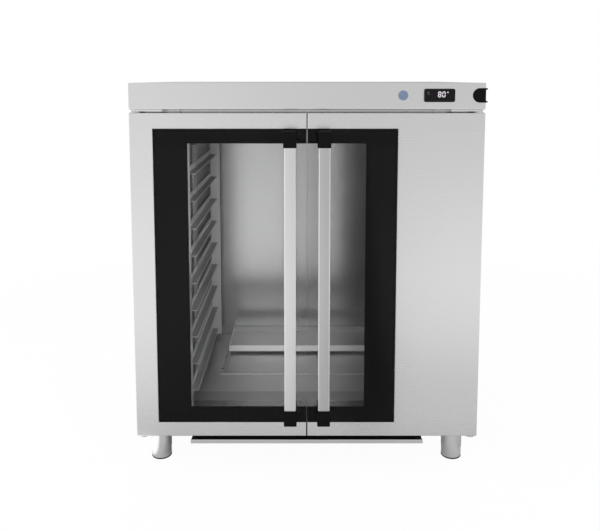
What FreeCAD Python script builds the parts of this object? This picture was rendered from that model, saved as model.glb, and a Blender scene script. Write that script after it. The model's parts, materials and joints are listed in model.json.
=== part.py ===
import FreeCAD, Part
import math
import os

from FreeCAD import Vector

# Proofing cabinet in millimetres: +X right, +Y to the back, +Z up.
# The origin is on the floor, at the middle of the overall width and depth.

# Case
CABINET_WIDTH = 860.0
CABINET_DEPTH = 640.0
CABINET_HEIGHT = 979.0
LEG_HEIGHT = 86.0
FASCIA_HEIGHT = 64.0
SHEET = 1.2
BEND = 1.5
SEAM = 0.2
FLANGE = 24.0

# Walls round the chamber, and the raised part of its floor
SIDE_WALL = 120.0
BACK_WALL = 60.0
BASE_WALL = 50.0
ROOF_WALL = 35.0
SIDE_INSULATION = 41.0
DUCT_AIR_GAP = 18.0
PLATFORM_RISE = 2.4
PLATFORM_LENGTH = 308.0
PLATFORM_SIDE_GAP = 50.0
PLATFORM_BACK_GAP = 8.0
PLATFORM_CORNER = 12.0

# Doors
DOOR_THICKNESS = 40.0
DOOR_TOP_GAP = 8.0
DOOR_BOTTOM_GAP = 3.0
DOOR_SPLIT_GAP = 2.0
DOOR_BODY_GAP = 6.0
DOOR_BEND = 2.5
DOOR_SIDE_STRIP = 56.0
DOOR_PANEL_WIDTH = 209.0
DOOR_TOP_STRIP = 37.5
DOOR_BOTTOM_STRIP = 37.0
GLASS = 6.0
GLASS_SETBACK = 0.3
GLASS_REVEAL = 1.0
GLASS_EDGE_ROUND = 0.8
SURROUND = 2.0
LEDGE_WIDTH = 24.0
LEFT_BORDER = 83.0
RIGHT_BORDER = 77.0
RIGHT_REVEAL_SETBACK = 4.0
TOP_BORDER = 37.0
BOTTOM_BORDER = 39.0
GASKET_WIDTH = 12.0
GASKET_INSET = 4.0
GASKET_ROUND = 2.5
REST_CLEARANCE = 0.3

# Hinges
PIVOT_INSET = 13.0
PIVOT_DEPTH = 22.0
PIN_RADIUS = 5.0
PIN_CLEARANCE = 0.05
PIN_ENGAGEMENT = 16.0
BUSH_WALL = 3.0
BUSH_LENGTH = 18.0
BUSH_FLANGE = 3.0
HINGE_PLATE = 5.0
HINGE_EDGE = 0.5
TOP_HINGE_LENGTH = 82.0
BOTTOM_HINGE_LENGTH = 140.0

# Handles
HANDLE_REACH = 48.0
HANDLE_CENTRE_X = 41.0
BAR_WIDTH = 29.2
BAR_DEPTH = 14.0
BAR_ROUND = 4.0
CAP_WALL = 1.2
CAP_HEIGHT = 39.0
CAP_FRONT = 1.5
CAP_ROUND = 3.0
CAP_EDGE_ROUND = 0.6
CAP_SOCKET = 20.0
LOWER_CAP_INSET = 12.8
UPPER_CAP_INSET = 3.2
SOCKET_CLEARANCE = 0.05

# Tray racks
TRAY_PITCH = 72.0
LOWEST_SHELF_RISE = 36.0
RAIL_STANDOFF = 5.0
RAIL_SHELF = 21.0
RAIL_WEB = 15.0
RAIL_SHEET = 1.5
RAIL_FRONT_GAP = 41.0
RAIL_BACK_GAP = 42.0
FRONT_UPRIGHT_INSET = 112.0
FRONT_UPRIGHT_WIDTH = 48.0
REAR_UPRIGHT_WIDTH = 26.0
TRAY_STOP = 30.0
UPRIGHT_RISE = 18.0

# Water pan, its guides and its heater
PAN_SIDE_GAP = 21.0
PAN_BACK_GAP = 2.0
PAN_LENGTH = 168.0
PAN_HEIGHT = 18.6
PAN_WALL = 1.2
PAN_CORNER = 2.4
PAN_TRAVEL = 150.0
GUIDE_FOOT = 11.0
GUIDE_LEDGE = 8.0
GUIDE_OVERHANG = 20.0
PAN_HEATER_RADIUS = 3.0
PAN_HEATER_RUNS = 6
PAN_HEATER_END_GAP = 12.0
PAN_HEATER_SIDE_GAP = 25.0
PAN_HEATER_TOP_GAP = 0.7

# Circulation fan on the right side of the chamber
FAN_BACK_GAP = 250.0
FAN_LIFT = 16.0
WHEEL_RADIUS = 75.0
WHEEL_WIDTH = 32.0
WHEEL_BLADES = 18
WHEEL_PLATE = 2.0
WHEEL_SHROUD = 13.0
WHEEL_HUB_RADIUS = 14.0
WHEEL_HUB_LENGTH = 16.0
WHEEL_BACK_GAP = 9.0
BLADE_LENGTH = 26.0
BLADE_SHEET = 1.0
BLADE_LEAN = 35.0
BLADE_TIP_GAP = 2.0
SHAFT_RADIUS = 4.0
MOTOR_RADIUS = 44.0
MOTOR_BOSS_RADIUS = 11.0
MOTOR_BOSS_REACH = 5.0
MOTOR_END = 3.0
INLET_RADIUS = 46.0
GRILLE_LAP = 12.0
GRILLE_RINGS = 3
GRILLE_SLOTS = 6
GRILLE_SLOT_WIDTH = 7.0
GRILLE_RIB = 5.0
RING_TUBE_RADIUS = 4.0
RING_LEG_RADIUS = 3.6
RING_GAP = 13.0

# Temperature probe
PROBE_SIDE_GAP = 32.0
PROBE_DROP = 176.0
PROBE_RADIUS = 3.0
PROBE_TIP_ROUND = 2.4
PROBE_REACH = 38.0
PROBE_NUT_RADIUS = 8.0
PROBE_NUT_HEIGHT = 4.8

# Controls
CONTROL_LIFT = 2.0
THERMOSTAT_INSET = 112.0
THERMOSTAT_WIDTH = 74.0
THERMOSTAT_HEIGHT = 32.0
THERMOSTAT_PROUD = 5.0
THERMOSTAT_CORNER = 4.5
THERMOSTAT_EDGE = 1.2
THERMOSTAT_RIM = 1.5
THERMOSTAT_CASE_DEPTH = 58.0
CASE_CLEARANCE = 0.2
CLIP_LENGTH = 12.0
CLIP_HEIGHT = 14.5
BUTTON_INSET = 199.0
BUTTON_RADIUS = 11.75
BUTTON_PROUD = 3.0
BUTTON_EDGE = 0.8
BUTTON_TRAVEL = 2.5
BUTTON_LENGTH = 15.0
BUTTON_CLEARANCE = 0.1
SWITCH_WALL = 3.0
SWITCH_FLANGE = 3.0
SWITCH_BLOCK = 14.0
SWITCH_BLOCK_WIDTH = 18.8
PORT_HEIGHT = 35.0
PORT_WIDTH = 32.0
PORT_DEPTH = 30.0
PORT_PROUD = 3.5
PORT_FRONT_PROUD = 1.0
PORT_RIM = 4.0
PORT_RECESS = 1.5

# Electrical parts on the roof plate, cable gland and air slots in the back
ELECTRICS_BACK_GAP = 120.0
TERMINAL_INSET = 180.0
TERMINAL_CELL = 12.0
TERMINAL_CELLS = 6
TERMINAL_RIB = 2.4
TERMINAL_WIDTH = 34.0
TERMINAL_HEIGHT = 30.0
TERMINAL_POCKET_WIDTH = 8.0
TERMINAL_POCKET_DEPTH = 13.5
RELAY_INSET = 320.0
RELAY_SIZE = 58.0
RELAY_BASE = 6.0
RELAY_FIN_HEIGHT = 26.0
RELAY_FIN = 2.0
RELAY_FINS = 7
GLAND_INSET = 100.0
GLAND_REACH = 24.0
GLAND_THREAD_RADIUS = 10.0
GLAND_HEX_RADIUS = 14.0
GLAND_HEX = 8.0
GLAND_NOSE_RADIUS = 11.9
GLAND_NOSE_ROUND = 5.0
GLAND_NUT = 4.0
GLAND_BORE_RADIUS = 5.0
VENT_INSET = 210.0
VENT_SLOTS = 12
VENT_SLOT_WIDTH = 5.0
VENT_SLOT_HEIGHT = 32.0
VENT_PITCH = 14.0

# Legs
LEG_SIDE_INSET = 48.0
LEG_HINGE_GAP = 1.5
LEG_REAR_INSET = 72.0
LEG_RADIUS = 26.25
LEG_WALL = 2.0
LEG_LID = 4.0
FOOT_HEIGHT = 28.0
FOOT_RADIUS = 25.4
FOOT_ROUND = 2.5
FOOT_ADJUSTMENT = 16.0
FOOT_CLEARANCE = 0.3
STUD_RADIUS = 6.0
STUD_LENGTH = 14.0

# Drip gutter
GUTTER_SIDE_INSET = 136.0
GUTTER_HOLD = 44.0
GUTTER_DEPTH = 10.0
GUTTER_WALL = 1.5
GUTTER_BEND = 3.0
GUTTER_LIP_HEIGHT = 10.0
GUTTER_LIP = 2.0
GUTTER_LIP_ROUND = 0.8
GUTTER_TOP_GAP = 6.5
GUTTER_RIM = 12.0
GUTTER_TRAVEL = 70.0
RUNNER_LEDGE = 10.0
RUNNER_CLEARANCE = 0.3

# Levels, depths and half widths that follow from the sizes above
HALF_WIDTH = CABINET_WIDTH / 2
TOTAL_DEPTH = HANDLE_REACH + CAP_FRONT + CABINET_DEPTH + GLAND_REACH
FRONT_Y = HANDLE_REACH + CAP_FRONT - TOTAL_DEPTH / 2
BACK_Y = FRONT_Y + CABINET_DEPTH
BODY_DEPTH = DOOR_THICKNESS + DOOR_BODY_GAP
BODY_Y = FRONT_Y + BODY_DEPTH
POST_REAR_Y = BODY_Y + FLANGE
FASCIA_Z = CABINET_HEIGHT - FASCIA_HEIGHT
DOOR_Z0 = LEG_HEIGHT + DOOR_BOTTOM_GAP
DOOR_Z1 = FASCIA_Z - DOOR_TOP_GAP
GLASS_BACK_DEPTH = GLASS_SETBACK + GLASS
LEDGE_DEPTH = GLASS_BACK_DEPTH + SURROUND
WINDOW_Z0 = DOOR_Z0 + DOOR_BOTTOM_STRIP + BOTTOM_BORDER
WINDOW_Z1 = DOOR_Z1 - DOOR_TOP_STRIP - TOP_BORDER
PIVOT_X = HALF_WIDTH - PIVOT_INSET
PIVOT_Y = FRONT_Y + PIVOT_DEPTH
HINGE_NOSE = PIVOT_INSET - HINGE_EDGE
CHAMBER_X = HALF_WIDTH - SIDE_WALL
CHAMBER_Y = BACK_Y - BACK_WALL
CHAMBER_FLOOR_Z = LEG_HEIGHT + BASE_WALL
CHAMBER_CEILING_Z = FASCIA_Z - ROOF_WALL
LINER_X = HALF_WIDTH - SHEET - SIDE_INSULATION
PLATFORM_X = CHAMBER_X - PLATFORM_SIDE_GAP
PLATFORM_Y1 = CHAMBER_Y - PLATFORM_BACK_GAP
PLATFORM_Y0 = PLATFORM_Y1 - PLATFORM_LENGTH
FLOOR_TOP_Z = CHAMBER_FLOOR_Z + PLATFORM_RISE
RAIL_X = CHAMBER_X - RAIL_STANDOFF
RAIL_Y0 = BODY_Y + RAIL_FRONT_GAP
RAIL_Y1 = CHAMBER_Y - RAIL_BACK_GAP
LOWEST_SHELF_Z = CHAMBER_FLOOR_Z + LOWEST_SHELF_RISE
RACK_HEIGHT = CHAMBER_CEILING_Z - UPRIGHT_RISE - RAIL_WEB - LOWEST_SHELF_Z
TRAY_LEVELS = int(RACK_HEIGHT / TRAY_PITCH) + 1
PAN_X = PLATFORM_X - PAN_SIDE_GAP
PAN_Y1 = CHAMBER_Y - PAN_BACK_GAP
PAN_Y0 = PAN_Y1 - PAN_LENGTH
PAN_HEATER_Z = FLOOR_TOP_Z + REST_CLEARANCE + PAN_HEATER_RADIUS
PAN_Z = PAN_HEATER_Z + PAN_HEATER_RADIUS + PAN_HEATER_TOP_GAP
FAN_Y = CHAMBER_Y - FAN_BACK_GAP
FAN_Z = (CHAMBER_FLOOR_Z + CHAMBER_CEILING_Z) / 2 + FAN_LIFT
WHEEL_X = LINER_X - MOTOR_BOSS_REACH - WHEEL_BACK_GAP
MOTOR_X = HALF_WIDTH - SHEET - 2 * SEAM
PROBE_X = CHAMBER_X - PROBE_SIDE_GAP
PROBE_Z = CHAMBER_CEILING_Z - PROBE_DROP
CONTROL_Z = FASCIA_Z + FASCIA_HEIGHT / 2 + CONTROL_LIFT
THERMOSTAT_X = HALF_WIDTH - THERMOSTAT_INSET
CASE_WIDTH = THERMOSTAT_WIDTH - 2 * THERMOSTAT_RIM
CASE_HEIGHT = THERMOSTAT_HEIGHT - 2 * THERMOSTAT_RIM
BUTTON_X = HALF_WIDTH - BUTTON_INSET
ELECTRICS_Y = BACK_Y - ELECTRICS_BACK_GAP
TERMINAL_X = HALF_WIDTH - TERMINAL_INSET
RELAY_X = HALF_WIDTH - RELAY_INSET
GLAND_X = HALF_WIDTH - GLAND_INSET
VENT_X = VENT_INSET - HALF_WIDTH
LEG_X = HALF_WIDTH - LEG_SIDE_INSET
LEG_FRONT_Y = BODY_Y + LEG_RADIUS
LEG_REAR_Y = BACK_Y - LEG_REAR_INSET
GUTTER_X = HALF_WIDTH - GUTTER_SIDE_INSET
GUTTER_TOP_Z = LEG_HEIGHT - GUTTER_TOP_GAP
GUTTER_LENGTH = BODY_DEPTH + GUTTER_TRAVEL + GUTTER_HOLD


def on_xy(z):
    return lambda u, v: Vector(u, v, z)


def on_xz(y):
    return lambda u, v: Vector(u, y, v)


def on_yz(x):
    return lambda u, v: Vector(x, u, v)


def block(x0, x1, y0, y1, z0, z1):
    return Part.makeBox(x1 - x0, y1 - y0, z1 - z0, Vector(x0, y0, z0))


def rod(radius, start, end):
    """Round bar between two points."""
    run = end - start
    return Part.makeCylinder(radius, run.Length, start, run)


def tube(radius, bore, start, end):
    return rod(radius, start, end).cut(rod(bore, start, end))


def mirrored(shape):
    """The same piece on the other side of the middle plane."""
    return shape.mirror(Vector(0, 0, 0), Vector(1, 0, 0))


def rounded_face(corners, place):
    """Flat face whose corners are (u, v, radius), with arcs where the radius isn't zero."""
    starts = []
    ends = []
    middles = []
    count = len(corners)
    for i, (u, v, radius) in enumerate(corners):
        here = Vector(u, v, 0)
        before = Vector(*corners[i - 1][:2], 0) - here
        after = Vector(*corners[(i + 1) % count][:2], 0) - here
        before.normalize()
        after.normalize()
        half = before.getAngle(after) / 2
        reach = radius / math.tan(half)
        starts.append(here + before * reach)
        ends.append(here + after * reach)
        inward = before + after
        inward.normalize()
        middles.append(here + inward * (radius / math.sin(half) - radius))
    edges = []
    for i in range(count):
        if corners[i][2] > 0:
            arc = [place(p.x, p.y) for p in (starts[i], middles[i], ends[i])]
            edges.append(Part.Arc(*arc).toShape())
        run = [place(p.x, p.y) for p in (ends[i], starts[(i + 1) % count])]
        if (run[1] - run[0]).Length > 1e-6:
            edges.append(Part.LineSegment(*run).toShape())
    return Part.Face(Part.Wire(edges))


def rounded_rectangle(u0, u1, v0, v1, radius, place):
    return rounded_face([(u0, v0, radius), (u1, v0, radius), (u1, v1, radius), (u0, v1, radius)], place)


def folded_sheet(path, thickness, place, sweep):
    """Sheet folded along a path of right-angle bends, with its thickness on the path's left."""
    normals = []
    for (u0, v0), (u1, v1) in zip(path, path[1:]):
        run = Vector(u1 - u0, v1 - v0, 0)
        run.normalize()
        normals.append(Vector(-run.y, run.x, 0))
    outer = [(*path[0], 0)]
    inner = [(path[0][0] + normals[0].x * thickness, path[0][1] + normals[0].y * thickness, 0)]
    for (u, v), first, second in zip(path[1:-1], normals, normals[1:]):
        turns_left = first.x * second.y - first.y * second.x > 0
        shift = (first + second) * thickness
        outer.append((u, v, BEND + thickness if turns_left else BEND))
        inner.append((u + shift.x, v + shift.y, BEND if turns_left else BEND + thickness))
    outer.append((*path[-1], 0))
    inner.append((path[-1][0] + normals[-1].x * thickness, path[-1][1] + normals[-1].y * thickness, 0))
    return rounded_face(outer + inner[::-1], place).extrude(sweep)


def hexagon(radius, centre):
    """Six-sided face across the Y axis."""
    angles = [math.radians(60 * i) for i in range(7)]
    corners = [centre + Vector(radius * math.cos(a), 0, radius * math.sin(a)) for a in angles]
    return Part.Face(Part.makePolygon(corners))


def edges_at(shape, test):
    """Edges whose two end points both pass a test."""
    return [edge for edge in shape.Edges if all(test(vertex.Point) for vertex in edge.Vertexes)]


def near(a, b):
    return abs(a - b) < 1e-4


def tray(x0, x1, y0, y1, z0, z1, wall, open_test, round_test, radius):
    """Folded pan: a box with rounded bends, hollowed from the faces that pass open_test."""
    solid = block(x0, x1, y0, y1, z0, z1)
    solid = solid.makeFillet(radius, [edge for edge in solid.Edges if round_test(edge.CenterOfMass)])
    lids = [face for face in solid.Faces if open_test(face.CenterOfMass)]
    return solid.makeThickness(lids, -wall, 1e-4)


# Outer case


def right_side_panel():
    x = HALF_WIDTH
    rear = BACK_Y - SHEET - SEAM
    path = [(x, BODY_Y), (x, rear), (x - FLANGE, rear)]
    return folded_sheet(path, SHEET, on_xy(LEG_HEIGHT), Vector(0, 0, FASCIA_Z - LEG_HEIGHT))


def back_panel():
    return block(-HALF_WIDTH, HALF_WIDTH, BACK_Y - SHEET, BACK_Y, LEG_HEIGHT, FASCIA_Z)


def leg_places():
    return [(x, y) for y in (LEG_FRONT_Y, LEG_REAR_Y) for x in (-LEG_X, LEG_X)]


def base_pan():
    side = HALF_WIDTH - 2 * (SHEET + SEAM)
    y0 = BODY_Y + SHEET + SEAM
    y1 = BACK_Y - 2 * (SHEET + SEAM)
    z0 = LEG_HEIGHT
    z1 = z0 + FLANGE
    is_open = lambda c: near(c.z, z1)
    is_bend = lambda c: not near(c.z, z1)
    pan = tray(-side, side, y0, y1, z0, z1, SHEET, is_open, is_bend, BEND + SHEET)
    for x, y in leg_places():
        pan = pan.cut(rod(STUD_RADIUS, Vector(x, y, z0 - SHEET), Vector(x, y, z0 + 2 * SHEET)))
    return pan


def gland_point(y):
    return Vector(GLAND_X, y, CONTROL_Z)


def top_cover():
    y0 = BODY_Y + SEAM
    z0 = FASCIA_Z
    z1 = CABINET_HEIGHT
    is_open = lambda c: near(c.z, z0) or near(c.y, y0)
    is_bend = lambda c: not (near(c.z, z0) or near(c.y, y0))
    cover = tray(-HALF_WIDTH, HALF_WIDTH, y0, BACK_Y, z0, z1, SHEET, is_open, is_bend, BEND + SHEET)
    gland_hole = rod(GLAND_THREAD_RADIUS, gland_point(BACK_Y - 2 * SHEET), gland_point(BACK_Y + SHEET))
    cover = cover.cut(gland_hole)
    half = VENT_SLOT_HEIGHT / 2
    for i in range(VENT_SLOTS):
        x = VENT_X + (i - (VENT_SLOTS - 1) / 2) * VENT_PITCH
        corners = (x - VENT_SLOT_WIDTH / 2, x + VENT_SLOT_WIDTH / 2, CONTROL_Z - half, CONTROL_Z + half)
        slot = rounded_rectangle(*corners, VENT_SLOT_WIDTH / 2, on_xz(BACK_Y - 2 * SHEET))
        cover = cover.cut(slot.extrude(Vector(0, 3 * SHEET, 0)))
    return cover


def port_outline(grow, right_x):
    """Round-ended outline of the corner port: (x, z, radius), open to the right end."""
    left = HALF_WIDTH - PORT_WIDTH - grow
    half = PORT_HEIGHT / 2 + grow
    low = CONTROL_Z - half
    high = CONTROL_Z + half
    return [(left, low, half), (right_x, low, 0), (right_x, high, 0), (left, high, half)]


def control_fascia():
    z0 = FASCIA_Z
    z1 = CABINET_HEIGHT
    y1 = BODY_Y
    is_open = lambda c: near(c.y, y1)
    is_bend = lambda c: not near(c.y, y1)
    fascia = tray(-HALF_WIDTH, HALF_WIDTH, FRONT_Y, y1, z0, z1, SHEET, is_open, is_bend, BEND + SHEET)
    through = Vector(0, 3 * SHEET, 0)
    start = on_xz(FRONT_Y - SHEET)
    half_w = CASE_WIDTH / 2 + CASE_CLEARANCE
    half_h = CASE_HEIGHT / 2 + CASE_CLEARANCE
    sides = (THERMOSTAT_X - half_w, THERMOSTAT_X + half_w, CONTROL_Z - half_h, CONTROL_Z + half_h)
    fascia = fascia.cut(rounded_rectangle(*sides, SHEET, start).extrude(through))
    button = Vector(BUTTON_X, FRONT_Y - SHEET, CONTROL_Z)
    fascia = fascia.cut(rod(BUTTON_RADIUS + BUTTON_CLEARANCE, button, button + through))
    notch = rounded_face(port_outline(0, HALF_WIDTH + SHEET), start)
    return fascia.cut(notch.extrude(Vector(0, PORT_DEPTH + SHEET, 0)))


def roof_plate():
    side = HALF_WIDTH - SHEET - SEAM
    y0 = BODY_Y + SEAM
    y1 = BACK_Y - SHEET - SEAM
    corners = [(-side, y0, 0), (side, y0, 0), (side, y1, BEND), (-side, y1, BEND)]
    return rounded_face(corners, on_xy(FASCIA_Z)).extrude(Vector(0, 0, SHEET))


# Front frame that the doors close against


def right_front_post():
    x0 = CHAMBER_X + SHEET + SEAM
    x1 = HALF_WIDTH - SHEET - SEAM
    path = [(x1, POST_REAR_Y), (x1, BODY_Y), (x0, BODY_Y), (x0, POST_REAR_Y)]
    rise = Vector(0, 0, FASCIA_Z - CHAMBER_FLOOR_Z)
    return folded_sheet(path[::-1], SHEET, on_xy(CHAMBER_FLOOR_Z), rise)


def front_header():
    z0 = CHAMBER_CEILING_Z
    z1 = FASCIA_Z
    path = [(POST_REAR_Y, z1), (BODY_Y, z1), (BODY_Y, z0), (POST_REAR_Y, z0)]
    span = CHAMBER_X + SHEET
    return folded_sheet(path, SHEET, on_yz(-span), Vector(2 * span, 0, 0))


def front_sill():
    path = [(POST_REAR_Y, CHAMBER_FLOOR_Z), (BODY_Y, CHAMBER_FLOOR_Z), (BODY_Y, LEG_HEIGHT)]
    span = HALF_WIDTH - SHEET - SEAM
    return folded_sheet(path, SHEET, on_yz(-span), Vector(2 * span, 0, 0))


# Chamber


def right_liner():
    y0 = POST_REAR_Y + SEAM
    panel = block(LINER_X, LINER_X + SHEET, y0, CHAMBER_Y, CHAMBER_FLOOR_Z, CHAMBER_CEILING_Z)
    boss = MOTOR_BOSS_RADIUS + SEAM
    return panel.cut(rod(boss, fan_point(LINER_X - SHEET), fan_point(LINER_X + 2 * SHEET)))


def left_liner():
    y0 = POST_REAR_Y + SEAM
    return block(-LINER_X - SHEET, -LINER_X, y0, CHAMBER_Y, CHAMBER_FLOOR_Z, CHAMBER_CEILING_Z)


def back_liner():
    span = LINER_X + SHEET
    z0 = CHAMBER_FLOOR_Z - SHEET
    z1 = CHAMBER_CEILING_Z + SHEET
    panel = block(-span, span, CHAMBER_Y, CHAMBER_Y + SHEET, z0, z1)
    probe = Vector(PROBE_X, CHAMBER_Y - SHEET, PROBE_Z)
    return panel.cut(rod(PROBE_RADIUS, probe, probe + Vector(0, 3 * SHEET, 0)))


def floor_liner():
    span = LINER_X + SHEET
    z1 = CHAMBER_FLOOR_Z
    plate = block(-span, span, POST_REAR_Y + SEAM, CHAMBER_Y, z1 - SHEET, z1)
    sides = (-PLATFORM_X, PLATFORM_X, PLATFORM_Y0, PLATFORM_Y1)
    raised = rounded_rectangle(*sides, PLATFORM_CORNER, on_xy(z1)).extrude(Vector(0, 0, PLATFORM_RISE))
    inset = (-PLATFORM_X + SHEET, PLATFORM_X - SHEET, PLATFORM_Y0 + SHEET, PLATFORM_Y1 - SHEET)
    hollow = rounded_rectangle(*inset, PLATFORM_CORNER - SHEET, on_xy(z1 - SHEET))
    return plate.fuse(raised).cut(hollow.extrude(Vector(0, 0, PLATFORM_RISE))).removeSplitter()


def ceiling_liner():
    span = LINER_X + SHEET
    z0 = CHAMBER_CEILING_Z
    return block(-span, span, POST_REAR_Y + SEAM, CHAMBER_Y, z0, z0 + SHEET)


def insulation_slabs():
    """Five slabs that fill the space between the liner and the outer case."""
    y0 = POST_REAR_Y + SEAM
    inner_x = LINER_X + SHEET
    outer_x = HALF_WIDTH - SHEET - SEAM
    back_y0 = CHAMBER_Y + SHEET
    back_y1 = BACK_Y - 2 * (SHEET + SEAM) - BEND
    floor_z = CHAMBER_FLOOR_Z - SHEET
    base_z = LEG_HEIGHT + SHEET
    roof_z = CHAMBER_CEILING_Z + SHEET
    pan_x = HALF_WIDTH - 3 * (SHEET + SEAM) - BEND
    lap_z = LEG_HEIGHT + FLANGE
    right = block(inner_x, outer_x, y0, back_y1, lap_z, FASCIA_Z)
    left = mirrored(right)
    motor = MOTOR_RADIUS + SEAM
    right = right.cut(rod(motor, fan_point(inner_x), fan_point(outer_x)))
    back = block(-inner_x, inner_x, back_y0, back_y1, lap_z, FASCIA_Z)
    stud = STUD_LENGTH + SEAM
    base = block(-pan_x, pan_x, y0, CHAMBER_Y, base_z + stud, floor_z)
    roof = block(-inner_x, inner_x, y0, CHAMBER_Y, roof_z, FASCIA_Z)
    base = base.cut(right).cut(left)
    return Part.makeCompound([left, right, back, base, roof])


def duct_panel(x):
    z0 = CHAMBER_FLOOR_Z + DUCT_AIR_GAP
    z1 = CHAMBER_CEILING_Z - DUCT_AIR_GAP
    return block(x, x + SHEET, POST_REAR_Y + SEAM, CHAMBER_Y, z0, z1)


def left_duct_panel():
    return duct_panel(-CHAMBER_X - SHEET)


def right_duct_panel():
    inlet = rod(INLET_RADIUS, fan_point(CHAMBER_X - SHEET), fan_point(CHAMBER_X + 2 * SHEET))
    return duct_panel(CHAMBER_X).cut(inlet)


def right_tray_rack():
    """Angle rails held by a channel and ending at a broad angle that stops the trays."""
    shelf_x = RAIL_X - RAIL_SHELF
    along = Vector(0, RAIL_Y1 - RAIL_Y0, 0)
    rack = []
    for i in range(TRAY_LEVELS):
        z = LOWEST_SHELF_Z + i * TRAY_PITCH
        path = [(shelf_x, z - RAIL_SHEET), (RAIL_X, z - RAIL_SHEET), (RAIL_X, z + RAIL_WEB)]
        rack.append(folded_sheet(path, RAIL_SHEET, on_xz(RAIL_Y0), along))
    low = LOWEST_SHELF_Z - RAIL_SHEET - UPRIGHT_RISE
    high = LOWEST_SHELF_Z + (TRAY_LEVELS - 1) * TRAY_PITCH + RAIL_WEB + UPRIGHT_RISE
    y0 = RAIL_Y0 + FRONT_UPRIGHT_INSET
    y1 = y0 + FRONT_UPRIGHT_WIDTH
    channel = [(CHAMBER_X, y1), (RAIL_X, y1), (RAIL_X, y0), (CHAMBER_X, y0)]
    stop_end = (CHAMBER_X, RAIL_Y1 + REAR_UPRIGHT_WIDTH)
    stop = [(RAIL_X - TRAY_STOP, RAIL_Y1), (CHAMBER_X, RAIL_Y1), stop_end]
    for path in (channel, stop):
        rack.append(folded_sheet(path, SHEET, on_xy(low), Vector(0, 0, high - low)))
    return Part.makeCompound(rack)


# Water pan, its guides and its heater


def water_pan():
    rise = Vector(0, 0, PAN_HEIGHT)
    outer = rounded_rectangle(-PAN_X, PAN_X, PAN_Y0, PAN_Y1, PAN_CORNER, on_xy(PAN_Z)).extrude(rise)
    inner_x = PAN_X - PAN_WALL
    inner_sides = (-inner_x, inner_x, PAN_Y0 + PAN_WALL, PAN_Y1 - PAN_WALL)
    inner = rounded_rectangle(*inner_sides, PAN_CORNER - PAN_WALL, on_xy(PAN_Z + PAN_WALL))
    return outer.cut(inner.extrude(rise))


def right_pan_guide():
    """Z-section strip: foot on the floor, web, and a ledge that the pan slides on."""
    web_x = PAN_X + REST_CLEARANCE
    ledge_z = PAN_Z - REST_CLEARANCE - SHEET
    path = [
        (web_x - GUIDE_LEDGE, ledge_z),
        (web_x, ledge_z),
        (web_x, FLOOR_TOP_Z),
        (web_x + GUIDE_FOOT, FLOOR_TOP_Z),
    ]
    y0 = PAN_Y0 - PAN_TRAVEL + GUIDE_OVERHANG
    return folded_sheet(path, SHEET, on_xz(y0), Vector(0, PAN_Y1 - y0, 0))


def pan_guides():
    guide = right_pan_guide()
    return Part.makeCompound([mirrored(guide), guide])


def pan_heater():
    """Tube bent to and fro under the pan, with both ends in the back wall."""
    half = PAN_X - GUIDE_LEDGE - PAN_HEATER_SIDE_GAP - PAN_HEATER_RADIUS
    pitch = 2 * half / (PAN_HEATER_RUNS - 1)
    turn = pitch / 2
    front = PAN_Y0 + PAN_HEATER_END_GAP + turn
    back = PAN_Y1 - PAN_HEATER_END_GAP - turn
    last = PAN_HEATER_RUNS - 1
    point = lambda x, y: Vector(x, y, PAN_HEATER_Z)
    edges = []
    for i in range(PAN_HEATER_RUNS):
        x = -half + i * pitch
        rear = CHAMBER_Y if i in (0, last) else back
        goes_forward = i % 2 == 0
        start, end = (rear, front) if goes_forward else (front, rear)
        edges.append(Part.LineSegment(point(x, start), point(x, end)).toShape())
        if i < last:
            crown = end - turn if goes_forward else end + turn
            bend = Part.Arc(point(x, end), point(x + turn, crown), point(x + pitch, end))
            edges.append(bend.toShape())
    ring = Part.makeCircle(PAN_HEATER_RADIUS, point(-half, CHAMBER_Y), Vector(0, 1, 0))
    return Part.Wire(edges).makePipeShell([Part.Wire([ring])], True, False)


# Circulation fan


def fan_point(x):
    return Vector(x, FAN_Y, FAN_Z)


def fan_motor():
    """Flange and nose inside the chamber wall, round can in the insulation."""
    inner = LINER_X + SHEET
    bore = SHAFT_RADIUS + PIN_CLEARANCE
    profile = [
        (LINER_X - MOTOR_BOSS_REACH, bore),
        (LINER_X - MOTOR_BOSS_REACH, MOTOR_BOSS_RADIUS),
        (inner, MOTOR_BOSS_RADIUS),
        (inner, MOTOR_RADIUS),
        (MOTOR_X, MOTOR_RADIUS),
        (MOTOR_X, bore),
    ]
    points = [Vector(x, FAN_Y, FAN_Z + r) for x, r in profile]
    face = Part.Face(Part.makePolygon(points + points[:1]))
    can = face.revolve(fan_point(0), Vector(1, 0, 0), 360)
    cap = rod(bore, fan_point(MOTOR_X - MOTOR_END), fan_point(MOTOR_X))
    return can.fuse(cap).removeSplitter()


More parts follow.
